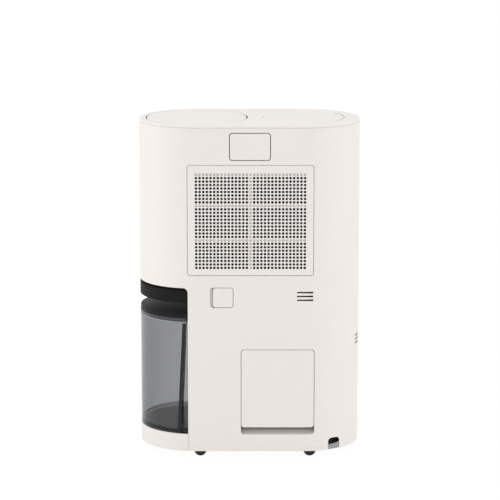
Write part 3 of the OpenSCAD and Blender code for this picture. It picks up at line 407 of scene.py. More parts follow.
def show(name: str, shape: Shape, finish: Finish, near: str,
         replaces: bool = True) -> None:
    """Turns a shape into a shown piece that rides with a CAD node.

    Args:
        name: the piece's name.
        shape: its mesh, which is freed.
        finish: its surface.
        near: the CAD node whose body it rides on.
        replaces: whether the piece stands for that node.
    """
    mesh = bpy.data.meshes.new(name)
    shape.to_mesh(mesh)
    shape.free()
    mesh.materials.clear()
    mesh.materials.append(finish.material())
    mesh.polygons.foreach_set("material_index", [0] * len(mesh.polygons))
    mesh.shade_smooth()
    mesh.set_sharp_from_angle(angle=SMOOTH_TO)
    piece = placed(name, mesh)
    weigh = piece.modifiers.new("weigh", "WEIGHTED_NORMAL")
    weigh.keep_sharp = True
    final = evaluated(piece)
    piece.modifiers.clear()
    piece.data = final
    final.name = name
    bpy.data.meshes.remove(mesh)
    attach(piece, body_of(near))
    if replaces:
        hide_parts(near)
    log.info("%s: %s, %d faces", name, finish.name, len(final.polygons))


@dataclass
class Moulding:
    """A piece whose form is its CAD solid's, with rounded edges and soft shading."""

    node: str
    finish: Finish
    round_mm: float
    where: Callable[[Vector], bool] | None = None

    def build(self) -> None:
        """Makes the piece that stands for the node."""
        shape = shape_of(self.node)
        if self.round_mm > 0:
            shape = soften(shape, self.round_mm, self.where)
        show(self.node + "_piece", shape, self.finish, self.node)


# ---------------------------------------------------------------- geometry nodes


@dataclass
class Pattern:
    """A Geometry Nodes tree with named inputs, run on an empty host."""

    name: str
    keys: dict[str, str] = field(default_factory=dict)

    def __post_init__(self) -> None:
        """Starts the tree with its output and its group of inputs."""
        self.tree = bpy.data.node_groups.new(self.name, "GeometryNodeTree")
        self.tree.interface.new_socket("Geometry", in_out="OUTPUT",
                                       socket_type="NodeSocketGeometry")
        self.entry = self.tree.nodes.new("NodeGroupInput")

    def ask(self, name: str, kind: str = "NodeSocketFloat") -> bpy.types.NodeSocket:
        """Adds a named input.

        Args:
            name: the input's name.
            kind: the type of its socket.

        Returns:
            The socket that gives its value inside the tree.
        """
        made = self.tree.interface.new_socket(name, in_out="INPUT", socket_type=kind)
        self.keys[name] = made.identifier
        return next(s for s in self.entry.outputs if s.identifier == made.identifier)

    def ring(self, sides: int) -> tuple[bpy.types.NodeSocket, ...]:
        """Starts a ring of edges that remembers which way each corner lies.

        Args:
            sides: number of edges.

        Returns:
            The ring, the way of each corner, and the corner's reach in a square.
        """
        start = add(self.tree, "GeometryNodeMeshCircle", {"Vertices": sides, "Radius": 1.0},
                    fill_type="NONE")
        noted = add(self.tree, "GeometryNodeStoreNamedAttribute",
                    {"Geometry": start.outputs["Mesh"], "Name": "way",
                     "Value": add(self.tree, "GeometryNodeInputPosition").outputs["Position"]},
                    data_type="FLOAT_VECTOR", domain="POINT")
        way = add(self.tree, "GeometryNodeInputNamedAttribute", {"Name": "way"},
                  data_type="FLOAT_VECTOR").outputs["Attribute"]
        size = add(self.tree, "ShaderNodeVectorMath", {0: way}, operation="ABSOLUTE")
        sides_of = add(self.tree, "ShaderNodeSeparateXYZ", {"Vector": size.outputs[0]})
        reach = add(self.tree, "ShaderNodeMath", {0: sides_of.outputs["X"],
                                                  1: sides_of.outputs["Y"]}, operation="MAXIMUM")
        return noted.outputs["Geometry"], way, reach.outputs[0]

    def turned(self, ring: bpy.types.NodeSocket,
               rings: Sequence[tuple[bpy.types.NodeSocket, bpy.types.NodeSocket]]
               ) -> bpy.types.NodeSocket:
        """Extrudes a ring of edges through places and heights, one after another.

        Args:
            ring: the ring from ring().
            rings: the flat place of the corners and their height, in order.

        Returns:
            The open surface, without the note of the ways.
        """
        mesh, chosen = ring, {}
        for step, (flat, height) in enumerate(rings):
            if step > 0:
                grown = add(self.tree, "GeometryNodeExtrudeMesh",
                            {"Mesh": mesh, "Offset Scale": 0.0, **chosen}, mode="EDGES")
                mesh, chosen = grown.outputs["Mesh"], {"Selection": grown.outputs["Top"]}
            lift = add(self.tree, "ShaderNodeCombineXYZ", {"Z": height})
            place = add(self.tree, "ShaderNodeVectorMath", {0: flat, 1: lift.outputs["Vector"]},
                        operation="ADD")
            mesh = add(self.tree, "GeometryNodeSetPosition",
                       {"Geometry": mesh, "Position": place.outputs[0],
                        **chosen}).outputs["Geometry"]
        bare = add(self.tree, "GeometryNodeRemoveAttribute", {"Geometry": mesh, "Name": "way"})
        return bare.outputs["Geometry"]

    def end(self, geometry: bpy.types.NodeSocket) -> None:
        """Realizes the instances, joins what touches and gives them the asked material."""
        whole = add(self.tree, "GeometryNodeRealizeInstances", {"Geometry": geometry})
        joined = add(self.tree, "GeometryNodeMergeByDistance",
                     {"Geometry": whole.outputs["Geometry"], "Distance": WELD})
        dressed = add(self.tree, "GeometryNodeSetMaterial",
                      {"Geometry": joined.outputs["Geometry"],
                       "Material": self.ask("Material", "NodeSocketMaterial")})
        add(self.tree, "NodeGroupOutput", {"Geometry": dressed.outputs["Geometry"]})

    def run(self, finish: Finish, **values: object) -> Shape:
        """Runs the tree once.

        Args:
            finish: the surface that Set Material gives.
            values: the inputs, with underscores for the spaces in their names.

        Returns:
            The result as a new bmesh.
        """
        host = placed(self.name, bpy.data.meshes.new(self.name))
        modifier = host.modifiers.new(self.name, "NODES")
        modifier.node_group = self.tree
        values["Material"] = finish.material()
        for name, value in values.items():
            modifier[self.keys[name.replace("_", " ")]] = value
        mesh = evaluated(host)
        host.modifiers.clear()
        bpy.data.objects.remove(host)
        shape = bmesh.new()
        shape.from_mesh(mesh)
        bpy.data.meshes.remove(mesh)
        return shape


class PerforatedPlate(Pattern):
    """A plate of equal cells, each with a round hole that has a rounded mouth."""

    SIDES = 16

    def __init__(self) -> None:
        """Builds the tree: rings from the cell's square edge into the hole and out behind."""
        super().__init__("perforated_plate")
        tree = self.tree
        pitch = add(tree, "ShaderNodeCombineXYZ", {"X": self.ask("Pitch across"),
                                                   "Y": self.ask("Pitch upwards")})
        radius, mouth, depth = self.ask("Hole radius"), self.ask("Mouth"), self.ask("Thickness")
        start, way, reach = self.ring(self.SIDES)
        square = add(tree, "ShaderNodeVectorMath", {0: way, 1: reach}, operation="DIVIDE")
        half = add(tree, "ShaderNodeVectorMath", {0: pitch.outputs["Vector"], 1: (0.5, 0.5, 0.0)},
                   operation="MULTIPLY")
        edge = add(tree, "ShaderNodeVectorMath", {0: square.outputs[0], 1: half.outputs[0]},
                   operation="MULTIPLY")
        # share of the mouth outside the hole, or nothing at the cell's edge, and the height
        rings = []
        for share, sunk, factor in ((None, mouth, 0.0), (1.0, mouth, 0.0), (0.3, mouth, -0.3),
                                    (0.0, mouth, -1.0), (0.0, depth, -1.0), (None, depth, -1.0)):
            flat = edge.outputs[0]
            if share is not None:
                size = add(tree, "ShaderNodeMath", {0: mouth, 1: share, 2: radius},
                           operation="MULTIPLY_ADD")
                flat = add(tree, "ShaderNodeVectorMath", {0: way, "Scale": size.outputs[0]},
                           operation="SCALE").outputs[0]
            height = add(tree, "ShaderNodeMath", {0: sunk, 1: factor}, operation="MULTIPLY")
            rings.append((flat, height.outputs[0]))
        cell = self.turned(start, rings)
        columns, rows = self.ask("Columns", "NodeSocketInt"), self.ask("Rows", "NodeSocketInt")
        count = add(tree, "ShaderNodeCombineXYZ", {"X": columns, "Y": rows})
        gaps = add(tree, "ShaderNodeVectorMath", {0: count.outputs["Vector"], 1: (1.0, 1.0, 0.0)},
                   operation="SUBTRACT")
        whole = add(tree, "ShaderNodeVectorMath", {0: gaps.outputs[0], 1: pitch.outputs["Vector"]},
                    operation="MULTIPLY")
        size = add(tree, "ShaderNodeSeparateXYZ", {"Vector": whole.outputs[0]})
        grid = add(tree, "GeometryNodeMeshGrid",
                   {"Size X": size.outputs["X"], "Size Y": size.outputs["Y"],
                    "Vertices X": columns, "Vertices Y": rows})
        cells = add(tree, "GeometryNodeInstanceOnPoints", {"Points": grid.outputs["Mesh"],
                                                           "Instance": cell})
        upright = add(tree, "GeometryNodeTransform",
                      {"Geometry": cells.outputs["Instances"],
                       "Translation": self.ask("Centre", "NodeSocketVector"),
                       "Rotation": (math.pi / 2, 0.0, 0.0)})
        self.end(upright.outputs["Geometry"])


class BarRow(Pattern):
    """Equal straight bars side by side, such as fins, wires or slats."""

    def __init__(self) -> None:
        """Builds the tree: a line of points with a bar on each."""
        super().__init__("bar_row")
        line = add(self.tree, "GeometryNodeMeshLine",
                   {"Count": self.ask("Count", "NodeSocketInt"),
                    "Start Location": self.ask("First", "NodeSocketVector"),
                    "Offset": self.ask("Step", "NodeSocketVector")},
                   mode="OFFSET")
        bar = add(self.tree, "GeometryNodeMeshCube", {"Size": self.ask("Bar", "NodeSocketVector")})
        bars = add(self.tree, "GeometryNodeInstanceOnPoints",
                   {"Points": line.outputs["Mesh"], "Instance": bar.outputs["Mesh"]})
        self.end(bars.outputs["Instances"])


class ScrewSet(Pattern):
    """Round-headed screws with a cross recess that look down from given points."""

    SIDES = 24

    def __init__(self) -> None:
        """Builds the tree: one turned screw with its recess, set on given points."""
        super().__init__("screw_set")
        tree = self.tree
        radius = self.ask("Head radius")
        start, way, reach = self.ring(self.SIDES)
        # the recess is a cross: its arms reach out where the square's reach is largest
        arm = add(tree, "ShaderNodeMapRange", {"Value": reach, "From Min": 0.9, "From Max": 0.96,
                                               "To Min": 0.3, "To Max": 1.0})
        # radius and height of each ring in head radii, and whether it follows the recess
        rings = []
        for size, height, crossed in ((0.3, 4.5, False), (0.5, 4.2, False), (0.5, 0.66, False),
                                      (0.94, 0.66, False), (1.0, 0.55, False), (1.0, 0.2, False),
                                      (0.85, 0.04, False), (0.6, 0.0, False), (0.56, 0.0, True),
                                      (0.36, 0.45, True)):
            scale = add(tree, "ShaderNodeMath", {0: radius, 1: size}, operation="MULTIPLY")
            if crossed:
                scale = add(tree, "ShaderNodeMath", {0: scale.outputs[0],
                                                     1: arm.outputs["Result"]},
                            operation="MULTIPLY")
            flat = add(tree, "ShaderNodeVectorMath", {0: way, "Scale": scale.outputs[0]},
                       operation="SCALE")
            lift = add(tree, "ShaderNodeMath", {0: radius, 1: height}, operation="MULTIPLY")
            rings.append((flat.outputs[0], lift.outputs[0]))
        spots = add(tree, "GeometryNodeObjectInfo",
                    {"Object": self.ask("Places", "NodeSocketObject")})
        heads = add(tree, "GeometryNodeInstanceOnPoints",
                    {"Points": spots.outputs["Geometry"], "Instance": self.turned(start, rings)})
        self.end(heads.outputs["Instances"])


def closed(shape: Shape) -> Shape:
    """Fills open rims and turns all faces outwards."""
    rims = [e for e in shape.edges if e.is_boundary]
    if rims:
        bmesh.ops.holes_fill(shape, edges=rims)
    bmesh.ops.recalc_face_normals(shape, faces=shape.faces)
    return shape


def joined(first: Shape, *others: Shape) -> Shape:
    """Puts several shapes into the first one and frees the others."""
    for other in others:
        mesh = bpy.data.meshes.new("part")
        other.to_mesh(mesh)
        other.free()
        first.from_mesh(mesh)
        bpy.data.meshes.remove(mesh)
    return first


def cut_window(shape: Shape, low: Vector, high: Vector) -> Shape:
    """Takes the rectangle between two corners out of an upright plate.

    Args:
        shape: the plate, whose large faces look along Y.
        low: the rectangle's lowest corner.
        high: its highest corner.

    Returns:
        The same shape with a clean opening that has four walls.
    """
    for axis in (0, 2):
        for corner in (low, high):
            normal = Vector([float(k == axis) for k in range(3)])
            bmesh.ops.bisect_plane(shape, geom=[*shape.verts, *shape.edges, *shape.faces],
                                   dist=1e-7, plane_co=corner, plane_no=normal)
    inside = [f for f in shape.faces
              if low.x < (c := f.calc_center_median()).x < high.x and low.z < c.z < high.z]
    bmesh.ops.delete(shape, geom=inside, context="FACES")
    bmesh.ops.bridge_loops(shape, edges=[e for e in shape.edges if e.is_boundary])
    clear_flats(shape)
    return shape


def loft(rings: Sequence[Sequence[Vector]], endless: bool = False) -> Shape:
    """Joins equal closed rings of points into a solid.

    Args:
        rings: the rings in order, all with the same number of points.
        endless: whether the last ring joins the first one, instead of two end faces.

    Returns:
        The closed solid as a new bmesh.
    """
    shape = bmesh.new()
    rows = [[shape.verts.new(p) for p in ring] for ring in rings]
    for low, high in zip(rows, rows[1:] + rows[:1] if endless else rows[1:]):
        for k in range(len(low)):
            n = (k + 1) % len(low)
            shape.faces.new((low[k], low[n], high[n], high[k]))
    if not endless:
        shape.faces.new(rows[0])
        shape.faces.new(rows[-1])
    bmesh.ops.recalc_face_normals(shape, faces=shape.faces)
    return shape


def at(outline: Iterable[Point], z: float) -> list[Vector]:
    """Lifts an outline to a height."""
    return [Vector((x, y, z)) for x, y in outline]


def round_outline(x: float, radius: float) -> list[Point]:
    """Returns the points of a circle on the middle line."""
    turn = 2 * math.pi / CIRCLE_STEPS
    return [(x + radius * math.cos(k * turn), radius * math.sin(k * turn))
            for k in range(CIRCLE_STEPS)]


def stadium_outline(inset: float) -> list[Point]:
    """Returns the case's plan outline, drawn in by an inset."""
    radius, points = END_R - inset, []
    for side in (1, -1):
        for k in range(END_STEPS + 1):
            angle = math.pi * (k / END_STEPS - 0.5)
            points.append((side * (END_X + radius * math.cos(angle)),
                           side * radius * math.sin(angle)))
    return points


def arc_band(x: float, radii: Point, heights: Point, turn: Point, steps: int = 40) -> Shape:
    """Returns a piece of a flat ring on the middle line.

    Args:
        x: the ring's centre.
        radii: its outer and inner radius.
        heights: its lower and upper face.
        turn: the angles in degrees between which it runs, from the +X side.
        steps: how many flats it has.

    Returns:
        The closed piece.
    """
    rings = []
    for k in range(steps + 1):
        angle = math.radians(turn[0] + (turn[1] - turn[0]) * k / steps)
        rings.append([Vector((x + r * math.cos(angle), r * math.sin(angle), z))
                      for r, z in ((radii[0], heights[0]), (radii[0], heights[1]),
                                   (radii[1], heights[1]), (radii[1], heights[0]))])
    return loft(rings)


def disc_of(node: str) -> Point:
    """Returns the middle and the radius of a round CAD node of the top."""
    low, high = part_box(node)
    return (low.x + high.x) / 2, -low.y


def hoop(outer: Sequence[Point], inner: Sequence[Point], low: float, high: float) -> Shape:
    """Returns a flat hoop between two outlines and two heights."""
    return loft([at(outer, low), at(outer, high), at(inner, high), at(inner, low)], endless=True)


# ---------------------------------------------------------------- sub-assemblies


@dataclass(frozen=True)
class SeamShade:
    """A stretch of painted shade line round a disc in the top cover.

    Its outer and inner radius count in millimetres from the disc's edge, its lower and
    upper height from the cover's surface, and its turn in degrees from the +X side.
    """

    disc: str
    radii: Point
    heights: Point
    turn: Point


# painted shade: thin black strips in the seams round the discs
SEAM_SHADES = (SeamShade("outlet_flap", (1.9, 0.1), (-1.0, 0.03), (-9.0, 9.0)),
         SeamShade("outlet_flap", (1.4, 0.1), (-1.0, 0.02), (174.0, 186.0)),
         SeamShade("control_disc", (0.7, 0.0), (-1.5, 0.02), (-40.0, 40.0)),
         SeamShade("control_disc", (0.5, -0.1), (-1.5, -0.5), (40.0, 320.0)))


@dataclass
class CaseShell:
    """The two case halves, the base pan and the top plate, with what closes their openings.

    Insets count inwards from the case's surface, and pairs give the near or lower value
    first, unless a comment says otherwise.
    """

    # roundings, and the depth at the surface in which a rim is rounded
    round_mm: float = 0.4
    rim_round_mm: float = 0.35
    lining_round_mm: float = 0.3
    skin: float = 0.2 * MM
    # how far the arch of the cord inlet reaches beside its bush and above the case's foot
    arch_side: float = 4.0 * MM
    arch_top: float = 40.0 * MM
    # black box of painted shade that closes the view into the base behind the cord inlet: its side
    # walls stand between the two wall values beside it
    notch_width: float = 18.6 * MM
    notch_foot: float = 0.3 * MM
    shade_box_high: float = 22.0 * MM
    shade_box_insets: Point = (2.9 * MM, 14.0 * MM)
    shade_box_end: float = 11.0 * MM
    shade_box_wall: Point = (0.1 * MM, 1.2 * MM)
    # grey wall in front of the black box of painted shade, whose upper edge climbs to the right
    wall_inset: float = 0.8 * MM
    wall_thick: float = 1.6 * MM
    wall_height: float = 8.2 * MM
    wall_rise: float = 2.8 * MM
    wall_steps: int = 12
    # black sheets of painted shade behind the three slots in the rear and the three in the right
    # end
    rear_vent_z: float = 266.9 * MM
    side_vent_z: float = 179.3 * MM
    vent_pitch: float = 6.5 * MM
    vent_length: float = 26.6 * MM
    vent_height: float = 2.1 * MM
    side_vent_y: float = -33.8 * MM
    side_vent_half: float = 1.0 * MM
    slot_shade_insets: Point = (0.4 * MM, 1.2 * MM)
    slot_shade_middle: float = 0.6 * MM
    slot_shade_thick: float = 0.8 * MM
    # finger dish, whose side by the cover lies dish_inset from it
    dish_z: Point = (247.7 * MM, 281.5 * MM)
    dish_width: float = 5.0 * MM
    dish_corner: float = 4.6 * MM
    dish_depth: float = 2.4 * MM
    dish_inset: float = 0.5 * MM
    dish_back: float = 6.0 * MM
    dish_least: float = 0.2 * MM
    dish_steps: int = 24
    # black strips of painted shade in the top seam, and in the gap round the flap with the outer
    # value first
    seam_insets: Point = (0.45 * MM, 1.6 * MM)
    seam_heights: Point = (-0.1 * MM, 0.4 * MM)
    flap_gap: Point = (1.36 * MM, 0.15 * MM)
    flap_heights: Point = (-2.3 * MM, -1.0 * MM)

    def build(self) -> None:
        """Makes the outer shells."""
        for node in ("front_case", "base_pan"):
            Moulding(node, CASE_ABS, self.round_mm).build()
        # the arch of the cord inlet cuts the round end too steeply for the rounding
        side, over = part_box("cord_gland")[0].x - self.arch_side, GROUND_GAP + self.arch_top
        Moulding("rear_case", CASE_ABS, self.round_mm,
                 lambda p: p.x < side or p.z > over).build()
        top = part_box("top_cover")[1].z
        Moulding("top_cover", CASE_ABS, self.rim_round_mm, lambda p: p.z > top - self.skin).build()
        # the pockets and the finger dish get the linings' colour, painted darker for the shade in
        # the recesses
        for node in ("cord_pocket", "door_pocket"):
            Moulding(node, SHADED_LINING_ABS, self.lining_round_mm).build()
        Moulding("inlet_frame", CASE_ABS, self.lining_round_mm).build()
        Moulding("drain_pocket", SHADED_LINING_ABS, round_mm=0.0).build()
        dress(RUBBER, ["drain_plug"])
        self._cord_inlet()
        self._vents()
        self._dish()
        self._seam_shades(top)

    def _follow(self, across: Point, insets: Point, heights: Point, rise: float = 0.0) -> Shape:
        """Returns a block whose faces follow the case's round rear right end.

        Args:
            across: left and right limit.
            insets: how far its outer and inner face lie inside the case's surface.
            heights: its lower and upper limit.
            rise: how much its upper face climbs towards the right.

        Returns:
            The closed block.
        """
        rings = []
        for k in range(self.wall_steps + 1):
            share = k / self.wall_steps
            x = across[0] + (across[1] - across[0]) * share
            outer, inner = (-math.sqrt((END_R - inset) ** 2 - (x - END_X) ** 2)
                            for inset in insets)
            rim = heights[1] + rise * share ** 2
            rings.append([Vector((x, outer, heights[0])), Vector((x, outer, rim)),
                          Vector((x, inner, rim)), Vector((x, inner, heights[0]))])
        return loft(rings)

    def _cord_inlet(self) -> None:
        """Black bush of the cord inlet and a black box of painted shade round it, behind a grey
        wall that follows the case.
        """
        low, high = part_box("cord_gland")
        middle, bottom = (low.x + high.x) / 2, GROUND_GAP + self.notch_foot
        left, right = middle - self.notch_width / 2, middle + self.notch_width / 2
        roof, insets, (near, far) = bottom + self.shade_box_high, self.shade_box_insets, self.shade_box_wall
        # painted shade: black walls that close the view into the base behind the cord inlet
        shade_box = joined(
            self._follow((left, right), (self.shade_box_end, insets[1]), (bottom, roof)),
            self._follow((left - far, left - near), insets, (bottom, roof)),
            self._follow((right + near, right + far), insets, (bottom, roof)),
            self._follow((left - far, right + far), insets, (roof, roof + far)))
        show("cord_gland_piece", joined(soften(shape_of("cord_gland"), self.lining_round_mm),
                                        shade_box), RUBBER, "cord_gland")
        wall = self._follow((left, right), (self.wall_inset, self.wall_inset + self.wall_thick),
                            (bottom, bottom + self.wall_height), self.wall_rise)
        show("cord_inlet_wall", wall, GREY_ABS, "cord_gland", replaces=False)

    def _vents(self) -> None:
        """Black strips of painted shade behind the sensor slots."""
        low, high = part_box("humidity_sensor")
        middle_x = (low.x + high.x) / 2
        first = GROUND_GAP + self.rear_vent_z - self.vent_pitch
        rear = BarRow().run(SHADE_BLACK, Count=3,
                            First=(middle_x, REAR_Y + self.slot_shade_middle, first),
                            Step=(0.0, 0.0, self.vent_pitch),
                            Bar=(self.vent_length, self.slot_shade_thick, self.vent_height))
        strips = [rear]
        for k in (-1, 0, 1):
            z = GROUND_GAP + self.side_vent_z + k * self.vent_pitch
            under, over = z - self.side_vent_half, z + self.side_vent_half
            rings = []
            for step in range(self.wall_steps + 1):
                y = self.side_vent_y + self.vent_length * step / self.wall_steps
                out, back = (END_X + math.sqrt((END_R - inset) ** 2 - y ** 2)
                             for inset in self.slot_shade_insets)
                rings.append([Vector((out, y, under)), Vector((out, y, over)),
                              Vector((back, y, over)), Vector((back, y, under))])
            strips.append(loft(rings))
        # painted shade: black strips that darken the slots where shade falls inside
        show("sensor_slot_felt", joined(*strips), SHADE_BLACK, "rear_case",
             replaces=False)

    def _dish(self) -> None:
        """Sloping finger dish beside the drain cover, rounded like the opening's corners."""
        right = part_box("drain_cover")[0].x - self.dish_inset
        left = right - self.dish_width
        low, high = (z + GROUND_GAP for z in self.dish_z)
        face, back, rings = REAR_Y + self.dish_inset, REAR_Y + self.dish_back, []
        for k in range(self.dish_steps + 1):
            z = low + (high - low) * k / self.dish_steps
            near = max(self.dish_corner - min(z - low, high - z), 0.0)
            edge = left + self.dish_corner - math.sqrt(self.dish_corner ** 2 - near ** 2)
            edge = min(edge, right - self.dish_least)
            depth = self.dish_depth * (right - edge) / self.dish_width
            rings.append([Vector((edge, face, z)), Vector((right, face + depth, z)),
                          Vector((right, back, z)), Vector((edge, back, z))])
        # painted shade: the dish gets the linings' darker colour, which stands for the shade in the
        # recess
        show("drain_finger_dish", loft(rings), SHADED_LINING_ABS, "drain_pocket", replaces=False)

    def _seam_shades(self, top: float) -> None:
        """Black strips of painted shade that show as thin lines in the seams of the top.

        Args:
            top: height of the top cover's surface.
        """
        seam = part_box("rear_case")[1].z
        flap_x, flap_r = disc_of("outlet_flap")
        parts = [hoop(*(stadium_outline(inset) for inset in self.seam_insets),
                      *(seam + z for z in self.seam_heights)),
                 hoop(*(round_outline(flap_x, flap_r + gap) for gap in self.flap_gap),
                      *(top + z for z in self.flap_heights))]
        for drawn_line in SEAM_SHADES:
            x, radius = disc_of(drawn_line.disc)
            outer, inner = (radius + gap * MM for gap in drawn_line.radii)
            low, high = (top + z * MM for z in drawn_line.heights)
            parts.append(arc_band(x, (outer, inner), (low, high), drawn_line.turn))
        # painted shade: black strips put in the seams where shade falls
        show("seam_seals", joined(*parts), SHADE_BLACK, "top_cover",
             replaces=False)


@dataclass
class TopDeck:
    """Outlet flap, louvre, control disc and its light guides."""

    round_mm: float = 0.3

    def build(self) -> None:
        """Makes the pieces of the top."""
        Moulding("outlet_flap", CASE_ABS, round_mm=0.0).build()
        Moulding("control_disc", CASE_ABS, self.round_mm).build()
        Moulding("outlet_louvre", DARK_ABS, round_mm=0.2).build()
        dress(GUIDE_PC, ["light_guides"])
        dress(BOARD, ["control_board"])


@dataclass
class RearCovers:
    """The doors in the rear wall that have no holes."""

    round_mm: float = 0.45
    cord_round_mm: float = 0.25
    skin: float = 0.2 * MM

    def build(self) -> None:
        """Makes the three plain covers."""
        Moulding("drain_cover", CASE_ABS, self.round_mm).build()
        Moulding("cord_cover", CASE_ABS, self.cord_round_mm).build()
        Moulding("upper_door", CASE_ABS, self.round_mm, lambda p: p.y < REAR_Y + self.skin).build()


@dataclass
class AirInlet:
    """Perforated cover with its filter: a plate of round holes, a frame and a net."""

    # the perforated field, which sits lower than the cover's middle
    columns: int = 31
    rows: int = 28
    pitch_across: float = 6.0 * MM
    pitch_upwards: float = 5.82 * MM
    hole_radius: float = 2.25 * MM
    mouth: float = 0.3 * MM
    thickness: float = 2.5 * MM
    lowered: float = 1.2 * MM
    # rounding of the cover's border, which leaves out edges within slack of the field
    round_mm: float = 0.45
    slack: float = 0.01 * MM
    # net
    wire: float = 0.45 * MM
    wire_pitch: float = 1.5 * MM

    def build(self) -> None:
        """Makes the cover, the frame and the net."""
        self._cover()
        Moulding("filter_frame", CASE_ABS, round_mm=0.3).build()
        self._net()

    def _field(self) -> tuple[Vector, Vector]:
        """Returns the corners of the perforated field."""
        low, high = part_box("filter_cover")
        middle = (low + high) / 2
        half_x = self.columns * self.pitch_across / 2
        half_z = self.rows * self.pitch_upwards / 2
        centre_z = middle.z - self.lowered
        return (Vector((middle.x - half_x, REAR_Y, centre_z - half_z)),
                Vector((middle.x + half_x, REAR_Y + self.thickness, centre_z + half_z)))

    def _cover(self) -> None:
        """Perforated cover: its border comes from its CAD solid, the field from the pattern."""
        low, high = self._field()
        border = cut_window(shape_of("filter_cover", clear=False), low, high)
        border = soften(border, self.round_mm, lambda p: not (
            low.x - self.slack < p.x < high.x + self.slack
            and low.z - self.slack < p.z < high.z + self.slack))
        centre = (low + high) / 2
        plate = PerforatedPlate().run(
            CASE_ABS, Columns=self.columns, Rows=self.rows, Pitch_across=self.pitch_across,
            Pitch_upwards=self.pitch_upwards, Hole_radius=self.hole_radius, Mouth=self.mouth,
            Thickness=self.thickness, Centre=(centre.x, REAR_Y, centre.z))
        bmesh.ops.bridge_loops(plate, edges=[e for e in plate.edges if e.is_boundary])
        bmesh.ops.recalc_face_normals(plate, faces=plate.faces)
        for vert in plate.verts:
            beyond = abs(vert.co.x) - END_X
            if beyond > 0:
                vert.co.y += END_R - math.sqrt(END_R ** 2 - beyond ** 2)
        show("filter_cover_piece", joined(border, plate), CASE_ABS, "filter_cover")

    def _net(self) -> None:
        """Woven net, drawn coarser than the real one so that its wires show."""
        low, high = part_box("filter_mesh")
        rows = BarRow()
        size = high - low
        across, upwards = (int(size[k] / self.wire_pitch) for k in (0, 2))
        layer = self.wire / 2
        middle = (low + high) / 2
        ups = rows.run(NET_PET, Count=across + 1, Step=(size.x / across, 0.0, 0.0),
                       First=(low.x, middle.y - layer, middle.z),
                       Bar=(self.wire, self.wire, size.z))
        overs = rows.run(NET_PET, Count=upwards + 1, Step=(0.0, 0.0, size.z / upwards),
                         First=(middle.x, middle.y + layer, low.z),
                         Bar=(size.x, self.wire, self.wire))
        show("filter_mesh_piece", joined(ups, overs), NET_PET, "filter_mesh")


